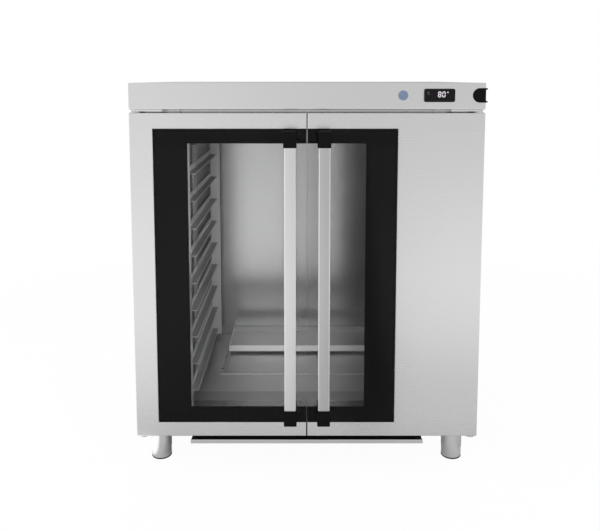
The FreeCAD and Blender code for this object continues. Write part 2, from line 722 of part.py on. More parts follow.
def fan_wheel():
    """Centrifugal wheel: back plate, hub on its shaft, leaning blades and a front shroud."""
    front = WHEEL_X - WHEEL_WIDTH
    hub_end = fan_point(WHEEL_X - WHEEL_HUB_LENGTH)
    shaft_end = fan_point(MOTOR_X - MOTOR_END - REST_CLEARANCE)
    plate = rod(WHEEL_RADIUS, fan_point(WHEEL_X - WHEEL_PLATE), fan_point(WHEEL_X))
    hub = rod(WHEEL_HUB_RADIUS, hub_end, fan_point(WHEEL_X))
    shaft = rod(SHAFT_RADIUS, hub_end, shaft_end)
    eye = WHEEL_RADIUS - WHEEL_SHROUD
    shroud = tube(WHEEL_RADIUS, eye, fan_point(front), fan_point(front + WHEEL_PLATE))
    lean = math.radians(BLADE_LEAN)
    root = WHEEL_RADIUS - BLADE_TIP_GAP - BLADE_LENGTH * math.cos(lean)
    blade = block(front, WHEEL_X, -BLADE_SHEET / 2, BLADE_SHEET / 2, 0, BLADE_LENGTH)
    blade.rotate(Vector(0, 0, 0), Vector(1, 0, 0), BLADE_LEAN)
    blade.translate(Vector(0, FAN_Y, FAN_Z + root))
    blades = []
    for i in range(WHEEL_BLADES):
        turned = blade.copy()
        turned.rotate(fan_point(0), Vector(1, 0, 0), 360 * i / WHEEL_BLADES)
        blades.append(turned)
    envelope = rod(WHEEL_RADIUS, fan_point(front), shaft_end)
    return plate.fuse([hub, shaft, shroud] + blades).common(envelope).removeSplitter()


def fan_grille():
    """Pressed disc with rings of arc-shaped slots, screwed over the inlet."""
    x0 = CHAMBER_X - SHEET
    disc = rod(INLET_RADIUS + GRILLE_LAP, fan_point(x0), fan_point(CHAMBER_X))
    pitch = GRILLE_SLOT_WIDTH + GRILLE_RIB
    for ring in range(GRILLE_RINGS):
        outer = INLET_RADIUS - GRILLE_RIB / 2 - ring * pitch
        slots = tube(outer, outer - GRILLE_SLOT_WIDTH, fan_point(x0 - SHEET), fan_point(CHAMBER_X + SHEET))
        for i in range(GRILLE_SLOTS // 2):
            angle = 360 * i / GRILLE_SLOTS
            rib = block(x0 - SHEET, CHAMBER_X + SHEET, -outer, outer, -GRILLE_RIB / 2, GRILLE_RIB / 2)
            rib.rotate(Vector(0, 0, 0), Vector(1, 0, 0), angle)
            rib.translate(Vector(0, FAN_Y, FAN_Z))
            slots = slots.cut(rib)
        disc = disc.cut(slots)
    return disc


def ring_heater():
    """Tube ring round the wheel, standing on two straight legs from the chamber wall."""
    middle = fan_point(WHEEL_X - WHEEL_WIDTH / 2)
    radius = WHEEL_RADIUS + RING_GAP + RING_TUBE_RADIUS
    ring = Part.makeTorus(radius, RING_TUBE_RADIUS, middle, Vector(1, 0, 0))
    legs = []
    for side in (-1, 1):
        foot = middle + Vector(0, side * radius, 0)
        legs.append(rod(RING_LEG_RADIUS, foot, Vector(LINER_X, foot.y, foot.z)))
    return ring.fuse(legs).removeSplitter()


def temperature_probe():
    tip = Vector(PROBE_X, CHAMBER_Y - PROBE_REACH, PROBE_Z)
    wall = Vector(PROBE_X, CHAMBER_Y, PROBE_Z)
    stem = rod(PROBE_RADIUS, tip, wall + Vector(0, SHEET, 0))
    stem = stem.makeFillet(PROBE_TIP_ROUND, edges_at(stem, lambda p: near(p.y, tip.y)))
    nut = hexagon(PROBE_NUT_RADIUS, wall).extrude(Vector(0, -PROBE_NUT_HEIGHT, 0))
    return stem.fuse(nut).removeSplitter()


# Controls in the fascia


def thermostat_case():
    """Long box behind the front, with a spring clip on each side."""
    x0 = THERMOSTAT_X - CASE_WIDTH / 2
    x1 = THERMOSTAT_X + CASE_WIDTH / 2
    sides = (x0, x1, CONTROL_Z - CASE_HEIGHT / 2, CONTROL_Z + CASE_HEIGHT / 2)
    case = rounded_rectangle(*sides, SHEET, on_xz(FRONT_Y)).extrude(Vector(0, THERMOSTAT_CASE_DEPTH, 0))
    y0 = FRONT_Y + SHEET + SEAM
    z0 = CONTROL_Z - CLIP_HEIGHT / 2
    clips = [block(x - SHEET, x + SHEET, y0, y0 + CLIP_LENGTH, z0, z0 + CLIP_HEIGHT) for x in (x0, x1)]
    return case.fuse(clips).removeSplitter()


def thermostat_front():
    half_w = THERMOSTAT_WIDTH / 2
    half_h = THERMOSTAT_HEIGHT / 2
    sides = (THERMOSTAT_X - half_w, THERMOSTAT_X + half_w, CONTROL_Z - half_h, CONTROL_Z + half_h)
    front = FRONT_Y - THERMOSTAT_PROUD
    outline = rounded_rectangle(*sides, THERMOSTAT_CORNER, on_xz(front))
    face = outline.extrude(Vector(0, THERMOSTAT_PROUD, 0))
    return face.makeFillet(THERMOSTAT_EDGE, edges_at(face, lambda p: near(p.y, front)))


def push_button():
    front = Vector(BUTTON_X, FRONT_Y - BUTTON_PROUD, CONTROL_Z)
    cap = rod(BUTTON_RADIUS, front, front + Vector(0, BUTTON_LENGTH, 0))
    return cap.makeFillet(BUTTON_EDGE, edges_at(cap, lambda p: near(p.y, front.y)))


def button_switch():
    """Sleeve behind the fascia that the button slides in, with the contact block at its end."""
    inside = Vector(BUTTON_X, FRONT_Y + SHEET, CONTROL_Z)
    bore = BUTTON_RADIUS + BUTTON_CLEARANCE
    end = BUTTON_LENGTH - BUTTON_PROUD + BUTTON_TRAVEL + REST_CLEARANCE - SHEET
    along = Vector(0, 1, 0)
    sleeve = tube(bore + SWITCH_WALL, bore, inside, inside + along * end)
    flange = tube(bore + SWITCH_WALL + SWITCH_FLANGE, bore, inside, inside + along * SWITCH_FLANGE)
    floor = rod(bore + SWITCH_WALL, inside + along * end, inside + along * (end + SWITCH_WALL))
    half = SWITCH_BLOCK_WIDTH / 2
    y0 = inside.y + end + SWITCH_WALL
    y1 = y0 + SWITCH_BLOCK
    contact = block(BUTTON_X - half, BUTTON_X + half, y0, y1, CONTROL_Z - half, CONTROL_Z + half)
    return sleeve.fuse([flange, floor, contact]).removeSplitter()


def corner_port():
    """Black moulding in the notch at the fascia's end: raised rim round a blank recess."""
    front = FRONT_Y - PORT_FRONT_PROUD
    depth = Vector(0, PORT_DEPTH + PORT_FRONT_PROUD, 0)
    body = rounded_face(port_outline(-REST_CLEARANCE, HALF_WIDTH + PORT_PROUD), on_xz(front)).extrude(depth)
    recess = rounded_face(port_outline(-PORT_RIM, HALF_WIDTH + 2 * PORT_PROUD), on_xz(front))
    body = body.cut(recess.extrude(Vector(0, PORT_RECESS, 0)))
    inner = PORT_HEIGHT / 2 - PORT_RIM
    side_gap = block(
        HALF_WIDTH, HALF_WIDTH + 2 * PORT_PROUD, front, front + PORT_DEPTH - PORT_RIM,
        CONTROL_Z - inner, CONTROL_Z + inner,
    )
    return body.cut(side_gap)


# Electrical parts behind the controls


def terminal_block():
    """Row of terminals with a pocket on both sides of each cell."""
    z0 = FASCIA_Z + SHEET
    z1 = z0 + TERMINAL_HEIGHT
    length = TERMINAL_CELL * TERMINAL_CELLS
    x0 = TERMINAL_X - length / 2
    half = TERMINAL_WIDTH / 2
    body = block(x0, x0 + length, ELECTRICS_Y - half, ELECTRICS_Y + half, z0, z1)
    pockets = []
    for i in range(TERMINAL_CELLS):
        cell_x0 = x0 + i * TERMINAL_CELL + TERMINAL_RIB / 2
        cell_x1 = cell_x0 + TERMINAL_CELL - TERMINAL_RIB
        for y0 in (ELECTRICS_Y - half, ELECTRICS_Y + half - TERMINAL_POCKET_WIDTH):
            y1 = y0 + TERMINAL_POCKET_WIDTH
            pockets.append(block(cell_x0, cell_x1, y0, y1, z1 - TERMINAL_POCKET_DEPTH, z1))
    return body.cut(pockets)


def power_relay():
    """Solid-state relay on a finned heat sink."""
    z0 = FASCIA_Z + SHEET
    half = RELAY_SIZE / 2
    y = ELECTRICS_Y
    relay = block(RELAY_X - half, RELAY_X + half, y - half, y + half, z0, z0 + RELAY_BASE)
    pitch = (RELAY_SIZE - RELAY_FIN) / (RELAY_FINS - 1)
    fins = []
    for i in range(RELAY_FINS):
        x = RELAY_X - half + i * pitch
        fins.append(block(x, x + RELAY_FIN, y - half, y + half, z0 + RELAY_BASE, z0 + RELAY_FIN_HEIGHT))
    return relay.fuse(fins).removeSplitter()


def cable_gland():
    """Threaded body through the back of the cover, hexagon, domed nut and an empty bore."""
    wall = gland_point(BACK_Y)
    shoulder = gland_point(BACK_Y + GLAND_HEX)
    mouth = gland_point(BACK_Y + GLAND_REACH)
    inside = gland_point(BACK_Y - SHEET)
    thread_end = gland_point(BACK_Y - SHEET - GLAND_HEX)
    flange = hexagon(GLAND_HEX_RADIUS, wall).extrude(Vector(0, GLAND_HEX, 0))
    nose = rod(GLAND_NOSE_RADIUS, shoulder, mouth)
    nose = nose.makeFillet(GLAND_NOSE_ROUND, edges_at(nose, lambda p: near(p.y, mouth.y)))
    thread = rod(GLAND_THREAD_RADIUS, thread_end, wall)
    lock_nut = tube(GLAND_HEX_RADIUS, GLAND_THREAD_RADIUS, gland_point(inside.y - GLAND_NUT), inside)
    bore = rod(GLAND_BORE_RADIUS, thread_end, mouth)
    return flange.fuse([nose, thread, lock_nut]).cut(bore).removeSplitter()


# Legs


def leg_tubes():
    legs = []
    for x, y in leg_places():
        low = Vector(x, y, FOOT_HEIGHT)
        high = Vector(x, y, LEG_HEIGHT)
        leg = tube(LEG_RADIUS, LEG_RADIUS - LEG_WALL, low, high)
        lid = rod(LEG_RADIUS, high - Vector(0, 0, LEG_LID), high)
        stud = rod(STUD_RADIUS, high, high + Vector(0, 0, STUD_LENGTH))
        legs.append(leg.fuse([lid, stud]).removeSplitter())
    return Part.makeCompound(legs)


def levelling_feet():
    """Round feet whose stems slide up into the leg tubes as they are screwed in."""
    feet = []
    for x, y in leg_places():
        shoulder = Vector(x, y, FOOT_HEIGHT)
        stem_end = Vector(x, y, LEG_HEIGHT - LEG_LID - FOOT_ADJUSTMENT)
        foot = rod(FOOT_RADIUS, Vector(x, y, 0), shoulder)
        foot = foot.makeFillet(FOOT_ROUND, edges_at(foot, lambda p: near(p.z, 0)))
        stem = rod(LEG_RADIUS - LEG_WALL - FOOT_CLEARANCE, shoulder, stem_end)
        feet.append(foot.fuse(stem).removeSplitter())
    return Part.makeCompound(feet)


# Hinges


def right_top_hinge_plate():
    x0 = HALF_WIDTH - TOP_HINGE_LENGTH
    x1 = PIVOT_X + HINGE_NOSE
    y0 = PIVOT_Y - HINGE_NOSE
    y1 = BODY_Y - SEAM
    corners = [(x0, y0, HINGE_NOSE / 2), (x1, y0, HINGE_NOSE), (x1, y1, 0), (x0, y1, 0)]
    plate = rounded_face(corners, on_xy(FASCIA_Z - HINGE_PLATE)).extrude(Vector(0, 0, HINGE_PLATE))
    hole = Vector(PIVOT_X, PIVOT_Y, FASCIA_Z - 2 * HINGE_PLATE)
    return plate.cut(rod(PIN_RADIUS, hole, hole + Vector(0, 0, 3 * HINGE_PLATE)))


def right_bottom_hinge_plate():
    """Long plate under the base, cut away round the leg."""
    x0 = PIVOT_X - HINGE_NOSE
    x1 = PIVOT_X + HINGE_NOSE
    y0 = PIVOT_Y - HINGE_NOSE
    y1 = y0 + BOTTOM_HINGE_LENGTH
    corners = [(x0, y0, HINGE_NOSE), (x1, y0, HINGE_NOSE), (x1, y1, 0), (x0, y1, 0)]
    plate = rounded_face(corners, on_xy(LEG_HEIGHT - HINGE_PLATE)).extrude(Vector(0, 0, HINGE_PLATE))
    through = Vector(0, 0, 3 * HINGE_PLATE)
    hole = Vector(PIVOT_X, PIVOT_Y, LEG_HEIGHT - 2 * HINGE_PLATE)
    leg = Vector(LEG_X, LEG_FRONT_Y, hole.z)
    plate = plate.cut(rod(LEG_RADIUS + LEG_HINGE_GAP, leg, leg + through))
    return plate.cut(rod(PIN_RADIUS, hole, hole + through))


def hinge_plates():
    plates = [right_top_hinge_plate(), right_bottom_hinge_plate()]
    return Part.makeCompound([mirrored(plate) for plate in plates] + plates)


def hinge_pins():
    pins = []
    lower = (LEG_HEIGHT - HINGE_PLATE, DOOR_Z0 + PIN_ENGAGEMENT)
    upper = (DOOR_Z1 - PIN_ENGAGEMENT, FASCIA_Z)
    for x in (-PIVOT_X, PIVOT_X):
        for z0, z1 in (lower, upper):
            pins.append(rod(PIN_RADIUS, Vector(x, PIVOT_Y, z0), Vector(x, PIVOT_Y, z1)))
    return Part.makeCompound(pins)


# Doors: each is drawn for the right side, with its own strip and border widths


def door_sides(strip):
    """X of the meeting edge, the glass edge and the hinge edge."""
    return DOOR_SPLIT_GAP / 2, HALF_WIDTH - strip, HALF_WIDTH


def frame_band(x0, x1, z0, z1, inner_x, inner_z0, inner_z1, depth0, depth1):
    """Three-sided frame, open at the meeting edge x0."""
    outer = block(x0, x1, FRONT_Y + depth0, FRONT_Y + depth1, z0, z1)
    window = block(x0 - DOOR_SPLIT_GAP, inner_x, FRONT_Y + depth0, FRONT_Y + depth1, inner_z0, inner_z1)
    return outer.cut(window)


def door_frame(strip):
    """Folded steel front, open behind and at the meeting edge, with a ledge for the glass."""
    x0, glass_x, x1 = door_sides(strip)
    y1 = FRONT_Y + DOOR_THICKNESS
    is_open = lambda c: near(c.y, y1)
    is_bend = lambda c: near(c.y, FRONT_Y)
    frame = tray(x0, x1, FRONT_Y, y1, DOOR_Z0, DOOR_Z1, SHEET, is_open, is_bend, DOOR_BEND)
    z0 = DOOR_Z0 + DOOR_BOTTOM_STRIP
    z1 = DOOR_Z1 - DOOR_TOP_STRIP
    frame = frame.cut(block(x0 - SHEET, glass_x, FRONT_Y - SHEET, y1 + SHEET, z0, z1))
    fold = (x0, glass_x + SHEET, z0 - SHEET, z1 + SHEET)
    wall = frame_band(*fold, glass_x, z0, z1, SHEET / 2, LEDGE_DEPTH + SHEET)
    seat = (glass_x - LEDGE_WIDTH, z0 + LEDGE_WIDTH, z1 - LEDGE_WIDTH)
    ledge = frame_band(*fold, *seat, LEDGE_DEPTH, LEDGE_DEPTH + SHEET)
    frame = frame.fuse([wall, ledge]).removeSplitter()
    seat_radius = PIN_RADIUS + PIN_CLEARANCE + BUSH_WALL
    for z in (DOOR_Z0, DOOR_Z1):
        edge = Vector(PIVOT_X, PIVOT_Y, z)
        through = Vector(0, 0, 2 * SHEET)
        frame = frame.cut(rod(seat_radius, edge - through, edge + through))
    return frame


def door_glass(strip):
    x0, glass_x, _ = door_sides(strip)
    y0 = FRONT_Y + GLASS_SETBACK
    z0 = DOOR_Z0 + DOOR_BOTTOM_STRIP + GLASS_REVEAL
    z1 = DOOR_Z1 - DOOR_TOP_STRIP - GLASS_REVEAL
    pane = block(x0, glass_x - GLASS_REVEAL, y0, y0 + GLASS, z0, z1)
    return pane.makeFillet(GLASS_EDGE_ROUND, edges_at(pane, lambda p: near(p.x, x0)))


def glass_surround(strip, border):
    """Black border behind the glass on three sides."""
    x0, glass_x, _ = door_sides(strip)
    z0 = DOOR_Z0 + DOOR_BOTTOM_STRIP + GLASS_REVEAL
    z1 = DOOR_Z1 - DOOR_TOP_STRIP - GLASS_REVEAL
    outer = (x0, glass_x - GLASS_REVEAL, z0, z1)
    return frame_band(*outer, glass_x - border, WINDOW_Z0, WINDOW_Z1, GLASS_BACK_DEPTH, LEDGE_DEPTH)


def door_back(strip, border, setback):
    """Inner skin with a folded reveal round the window and closed ends at the meeting edge."""
    x0, glass_x, x1 = door_sides(strip)
    lap = SHEET + SEAM
    back = DOOR_THICKNESS
    window_x = glass_x - border + setback
    outer = (x0 + lap, x1 - lap, DOOR_Z0 + lap, DOOR_Z1 - lap)
    plate = frame_band(*outer, window_x, WINDOW_Z0, WINDOW_Z1, back - SHEET, back)
    reveal_outer = (x0 + lap, window_x + SHEET, WINDOW_Z0 - SHEET, WINDOW_Z1 + SHEET)
    reveal = frame_band(*reveal_outer, window_x, WINDOW_Z0, WINDOW_Z1, LEDGE_DEPTH, back)
    y0 = FRONT_Y + LEDGE_DEPTH + SHEET + SEAM
    y1 = FRONT_Y + back
    ends = []
    low = DOOR_Z0 + DOOR_BOTTOM_STRIP
    high = DOOR_Z1 - DOOR_TOP_STRIP
    for z0, z1 in ((low, WINDOW_Z0), (WINDOW_Z1, high)):
        ends.append(block(x0 + lap, x0 + lap + SHEET, y0, y1, z0, z1))
    return plate.fuse([reveal] + ends).removeSplitter()


def door_gasket():
    """Rubber seal on the door's back that meets the front frame on three sides."""
    x0 = door_sides(0)[0] + SHEET + SEAM
    x1 = CHAMBER_X + SHEET + SEAM + GASKET_INSET + GASKET_WIDTH
    z0 = CHAMBER_FLOOR_Z - GASKET_INSET - GASKET_WIDTH
    z1 = CHAMBER_CEILING_Z + GASKET_INSET + GASKET_WIDTH
    inner = (x1 - GASKET_WIDTH, z0 + GASKET_WIDTH, z1 - GASKET_WIDTH)
    rear = BODY_DEPTH - REST_CLEARANCE
    seal = frame_band(x0, x1, z0, z1, *inner, DOOR_THICKNESS, rear)
    is_crown = lambda p: near(p.y, FRONT_Y + rear) and not near(p.x, x0)
    return seal.makeFillet(GASKET_ROUND, edges_at(seal, is_crown))


def door_bushes():
    """Nylon bushes in the door's top and bottom edges, each with a bearing flange."""
    bore = PIN_RADIUS + PIN_CLEARANCE
    outer = bore + BUSH_WALL
    flange = DOOR_BOTTOM_GAP - REST_CLEARANCE
    bushes = []
    for z, way in ((DOOR_Z0, 1), (DOOR_Z1, -1)):
        edge = Vector(PIVOT_X, PIVOT_Y, z)
        along = Vector(0, 0, way)
        bush = rod(outer, edge, edge + along * BUSH_LENGTH)
        bush = bush.fuse(rod(outer + BUSH_FLANGE, edge - along * flange, edge))
        hole = rod(bore, edge - along * flange, edge + along * (PIN_ENGAGEMENT + REST_CLEARANCE))
        bushes.append(bush.cut(hole).removeSplitter())
    return Part.makeCompound(bushes)


def handle_z():
    """Centres of the lower and upper end caps, which stand on the glass near its ends."""
    glass_low = DOOR_Z0 + DOOR_BOTTOM_STRIP + GLASS_REVEAL
    glass_high = DOOR_Z1 - DOOR_TOP_STRIP - GLASS_REVEAL
    half = CAP_HEIGHT / 2
    return glass_low + LOWER_CAP_INSET + half, glass_high - UPPER_CAP_INSET - half


def handle_bar():
    low, high = handle_z()
    z0 = low + CAP_HEIGHT / 2 - CAP_SOCKET
    z1 = high - CAP_HEIGHT / 2 + CAP_SOCKET
    front = FRONT_Y - HANDLE_REACH
    half = BAR_WIDTH / 2
    sides = (HANDLE_CENTRE_X - half, HANDLE_CENTRE_X + half, front, front + BAR_DEPTH)
    return rounded_rectangle(*sides, BAR_ROUND, on_xy(z0)).extrude(Vector(0, 0, z1 - z0))


def handle_caps():
    """Black end caps: rounded blocks that hold the bar and stand on the glass."""
    half = BAR_WIDTH / 2 + CAP_WALL
    front = FRONT_Y - HANDLE_REACH - CAP_FRONT
    back = FRONT_Y + GLASS_SETBACK
    x0 = HANDLE_CENTRE_X - half
    x1 = HANDLE_CENTRE_X + half
    corners = [(x0, front, CAP_ROUND), (x1, front, CAP_ROUND), (x1, back, 0), (x0, back, 0)]
    bar = handle_bar()
    socket = bar.makeOffsetShape(SOCKET_CLEARANCE, 1e-4)
    caps = []
    for z in handle_z():
        z0 = z - CAP_HEIGHT / 2
        cap = rounded_face(corners, on_xy(z0)).extrude(Vector(0, 0, CAP_HEIGHT))
        ends = (z0, z0 + CAP_HEIGHT)
        rims = [e for e in cap.Edges if any(near(e.CenterOfMass.z, end) for end in ends)]
        front_rims = [e for e in rims if not near(e.CenterOfMass.y, back)]
        cap = cap.makeFillet(CAP_EDGE_ROUND, front_rims)
        caps.append(cap.cut(socket))
    return Part.makeCompound(caps)


# Drip gutter under the doors


def drip_gutter():
    """Shallow trough with outward rims along both ends that hang on the runners."""
    half = GUTTER_X - GUTTER_RIM
    y0 = FRONT_Y + GUTTER_LIP
    y1 = y0 + GUTTER_LENGTH
    z1 = GUTTER_TOP_Z
    z0 = z1 - GUTTER_DEPTH
    is_open = lambda c: near(c.z, z1)
    is_bend = lambda c: near(c.z, z0)
    trough = tray(-half, half, y0, y1, z0, z1, GUTTER_WALL, is_open, is_bend, GUTTER_BEND)
    rim = block(half, GUTTER_X - BEND, y0, y1, z1 - GUTTER_WALL, z1)
    return trough.fuse([mirrored(rim), rim]).removeSplitter()


def gutter_lip():
    z1 = GUTTER_TOP_Z
    z0 = z1 - GUTTER_LIP_HEIGHT
    lip = block(-GUTTER_X, GUTTER_X, FRONT_Y, FRONT_Y + GUTTER_LIP, z0, z1)
    return lip.makeFillet(GUTTER_LIP_ROUND, edges_at(lip, lambda p: near(p.y, FRONT_Y)))


def gutter_runners():
    """Z-section strips under the base that carry the gutter's rims."""
    web_x = GUTTER_X + RUNNER_CLEARANCE
    ledge_z = GUTTER_TOP_Z - GUTTER_WALL - RUNNER_CLEARANCE
    path = [
        (web_x - RUNNER_LEDGE, ledge_z - SHEET),
        (web_x + SHEET, ledge_z - SHEET),
        (web_x + SHEET, LEG_HEIGHT - SHEET),
        (web_x + SHEET + RUNNER_LEDGE, LEG_HEIGHT - SHEET),
    ]
    y0 = BODY_Y + SHEET + SEAM
    y1 = FRONT_Y + GUTTER_LIP + GUTTER_LENGTH + RUNNER_LEDGE
    runner = folded_sheet(path, SHEET, on_xz(y0), Vector(0, y1 - y0, 0))
    return Part.makeCompound([mirrored(runner), runner])


def right_door_pieces():
    strip = DOOR_PANEL_WIDTH
    return {
        "right_door_frame": door_frame(strip),
        "right_door_back": door_back(strip, RIGHT_BORDER, RIGHT_REVEAL_SETBACK),
        "right_door_glass": door_glass(strip),
        "right_glass_surround": glass_surround(strip, RIGHT_BORDER),
        "right_door_gasket": door_gasket(),
        "right_door_bushes": door_bushes(),
        "right_handle_bar": handle_bar(),
        "right_handle_caps": handle_caps(),
    }


def left_door_pieces():
    strip = DOOR_SIDE_STRIP
    return {
        "left_door_frame": mirrored(door_frame(strip)),
        "left_door_back": mirrored(door_back(strip, LEFT_BORDER, 0.0)),
        "left_door_glass": mirrored(door_glass(strip)),
        "left_glass_surround": mirrored(glass_surround(strip, LEFT_BORDER)),
        "left_door_gasket": mirrored(door_gasket()),
        "left_door_bushes": mirrored(door_bushes()),
        "left_handle_bar": mirrored(handle_bar()),
        "left_handle_caps": mirrored(handle_caps()),
    }


def cabinet_pieces():
    return {
        "left_side_panel": mirrored(right_side_panel()),
        "right_side_panel": right_side_panel(),
        "back_panel": back_panel(),
        "base_pan": base_pan(),
        "top_cover": top_cover(),
        "control_fascia": control_fascia(),
        "roof_plate": roof_plate(),
        "left_front_post": mirrored(right_front_post()),
        "right_front_post": right_front_post(),
        "front_header": front_header(),
        "front_sill": front_sill(),
        "left_liner": left_liner(),
        "right_liner": right_liner(),
        "back_liner": back_liner(),
        "floor_liner": floor_liner(),
        "ceiling_liner": ceiling_liner(),
        "insulation_slabs": insulation_slabs(),
        "left_duct_panel": left_duct_panel(),
        "right_duct_panel": right_duct_panel(),
        "left_tray_rack": mirrored(right_tray_rack()),
        "right_tray_rack": right_tray_rack(),
        "pan_guides": pan_guides(),
        "pan_heater": pan_heater(),
        "fan_motor": fan_motor(),
        "fan_grille": fan_grille(),
        "ring_heater": ring_heater(),
        "temperature_probe": temperature_probe(),
        "thermostat_case": thermostat_case(),
        "thermostat_front": thermostat_front(),
        "button_switch": button_switch(),
        "corner_port": corner_port(),
        "terminal_block": terminal_block(),
        "power_relay": power_relay(),
        "cable_gland": cable_gland(),
        "leg_tubes": leg_tubes(),
        "levelling_feet": levelling_feet(),
        "hinge_plates": hinge_plates(),
        "hinge_pins": hinge_pins(),
        "gutter_runners": gutter_runners(),
    }


def moving_pieces():
    return {
        "fan_wheel": fan_wheel(),
        "water_pan": water_pan(),
        "push_button": push_button(),
        "drip_gutter": drip_gutter(),
        "gutter_lip": gutter_lip(),
    }


pieces = {**cabinet_pieces(), **moving_pieces(), **left_door_pieces(), **right_door_pieces()}
os.makedirs("parts", exist_ok=True)
for node, shape in pieces.items():
    shape.exportStep("parts/" + node + ".step")
    print(node, len(shape.Solids), "solids, valid" if shape.isValid() else "solids, NOT VALID")
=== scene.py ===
# %% [markdown]
# # Dressing a dough proofer
# The cabinet's solids come ready made: folded steel case, glazed doors, tray racks, fan, legs.
# This lesson gives every one of them a finish, adds the small things that CAD leaves out, such as
# screw heads and the lit number, and then sets up a white studio and the camera.

# %% Load the frame
import json
import math

import bmesh
import bpy
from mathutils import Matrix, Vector


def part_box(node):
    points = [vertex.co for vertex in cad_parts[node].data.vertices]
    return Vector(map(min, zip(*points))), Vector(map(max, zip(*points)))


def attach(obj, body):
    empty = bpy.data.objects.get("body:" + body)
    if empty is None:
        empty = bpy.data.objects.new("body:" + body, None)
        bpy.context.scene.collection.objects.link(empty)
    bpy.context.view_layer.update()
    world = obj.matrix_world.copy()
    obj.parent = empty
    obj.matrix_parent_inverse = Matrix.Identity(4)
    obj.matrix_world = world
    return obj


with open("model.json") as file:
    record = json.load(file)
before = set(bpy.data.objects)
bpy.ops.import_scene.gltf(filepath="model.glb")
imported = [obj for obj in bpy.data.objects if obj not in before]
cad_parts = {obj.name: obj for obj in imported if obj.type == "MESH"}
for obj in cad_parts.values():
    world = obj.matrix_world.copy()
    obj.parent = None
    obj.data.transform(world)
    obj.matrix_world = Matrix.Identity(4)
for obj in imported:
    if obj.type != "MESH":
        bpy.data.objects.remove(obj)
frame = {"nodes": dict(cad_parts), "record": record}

scene = bpy.context.scene
scene.view_settings.view_transform = "Standard"
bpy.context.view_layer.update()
MM = 0.001

# %% [markdown]
# ## Camera
# A catalogue picture of a cabinet is taken straight on, so that the front stays a rectangle. The
# lens is level with the control strip, so the picture has to be dropped to hold the legs. A lens
# shift, as on an architect's camera, drops it and keeps the uprights parallel, and a tilt makes
# them lean. Here a small tilt does part of it and the shift does the rest, because the shift stays
# in views from other sides, where a large one would cut the cabinet off.

# %% Camera
PICTURE_WIDTH = 600
FOCAL_PIXELS = 689.3
CAMERA_PLACE = Vector((-0.017, -1.967, 0.989))
CAMERA_TILT = math.radians(6.0)
LENS_SHIFT = -0.1907

lens = bpy.data.cameras.new("portrait_lens")
lens.sensor_width = 36.0
lens.lens = FOCAL_PIXELS / PICTURE_WIDTH * lens.sensor_width
lens.shift_y = LENS_SHIFT
camera = bpy.data.objects.new("portrait_camera", lens)
camera.location = CAMERA_PLACE
camera.rotation_euler = (math.pi / 2 - CAMERA_TILT, 0.0, 0.0)
scene.collection.objects.link(camera)
scene.camera = camera
print("lens", round(lens.lens, 1), "mm, shift", round(lens.shift_y, 3))

# %% [markdown]
# ## A short way to write shaders
# A finish is a graph of nodes, and building one node at a time in Python gets long. One small
# class wraps a socket: adding or multiplying two of them adds the Math node that does it, and
# `node` adds any other kind. The same class also builds the Geometry Nodes tree further down.


# %% Sockets as Python values
class Wire:
    """A socket of a node tree. Operators add Math nodes, and node() adds any other node."""

    def __init__(self, tree, socket=None):
        self.tree = tree
        self.socket = socket

    def node(self, kind, settings=None, sockets=None, output=0):
        made = self.tree.nodes.new(kind)
        for name, value in (settings or {}).items():
            setattr(made, name, value)
        for name, value in (sockets or {}).items():
            if isinstance(value, Wire):
                self.tree.links.new(value.socket, made.inputs[name])
            else:
                made.inputs[name].default_value = value
        return Wire(self.tree, made.outputs[output])

    def math(self, operation, first, second=0.0):
        return self.node("ShaderNodeMath", {"operation": operation}, {0: first, 1: second})

    def __add__(self, other):
        return self.math("ADD", self, other)

    def __radd__(self, other):
        return self.math("ADD", other, self)

    def __sub__(self, other):
        return self.math("SUBTRACT", self, other)

    def __rsub__(self, other):
        return self.math("SUBTRACT", other, self)

    def __mul__(self, other):
        return self.math("MULTIPLY", self, other)

    def __rmul__(self, other):
        return self.math("MULTIPLY", other, self)

    def __gt__(self, other):
        return self.math("GREATER_THAN", self, other)

    def __lt__(self, other):
        return self.math("LESS_THAN", self, other)


# %% Patterns that several finishes share
def gray(level):
    return (level, level, level, 1.0)


def place(wire, scale=(1.0, 1.0, 1.0)):
    """A point of the piece in metres, stretched along each axis."""
    spot = wire.node("ShaderNodeTexCoord", output="Object")
    return wire.node("ShaderNodeMapping", sockets={"Vector": spot, "Scale": scale})


def noise(wire, scale, detail=2.0, roughness=0.5, stretch=(1.0, 1.0, 1.0)):
    """Soft pattern, finer where the scale is larger, and drawn out where the stretch is small."""
    values = {"Scale": scale, "Detail": detail, "Roughness": roughness}
    return wire.node("ShaderNodeTexNoise", sockets={"Vector": place(wire, stretch), **values})


def axis(wire, vector, index):
    return wire.node("ShaderNodeSeparateXYZ", sockets={0: vector}, output=index)


def blend(wire, share, first, second):
    """Colour between two colours."""
    return wire.node("ShaderNodeMix", {"data_type": "RGBA"}, {0: share, 6: first, 7: second}, 2)


def bump(wire, height, strength, distance):
    values = {"Height": height, "Strength": strength, "Distance": distance}
    return wire.node("ShaderNodeBump", sockets=values)


def soft_step(wire, value, start, end, first, last):
    """Smooth change from first to last as the value goes from start to end."""
    sockets = {0: value, 1: start, 2: end, 3: first, 4: last}
    return wire.node("ShaderNodeMapRange", {"interpolation_type": "SMOOTHSTEP"}, sockets)


def principled(wire, **sockets):
    named = {name.replace("_", " "): value for name, value in sockets.items()}
    return wire.node("ShaderNodeBsdfPrincipled", sockets=named)


LEVEL_FACE = 0.7


def upward(wire):
    """How far a face looks up: 1 on a top, 0 on a wall and -1 on an underside."""
    return axis(wire, wire.node("ShaderNodeNewGeometry", output="Normal"), 2)


# %% From a function to a material
finishes = {}


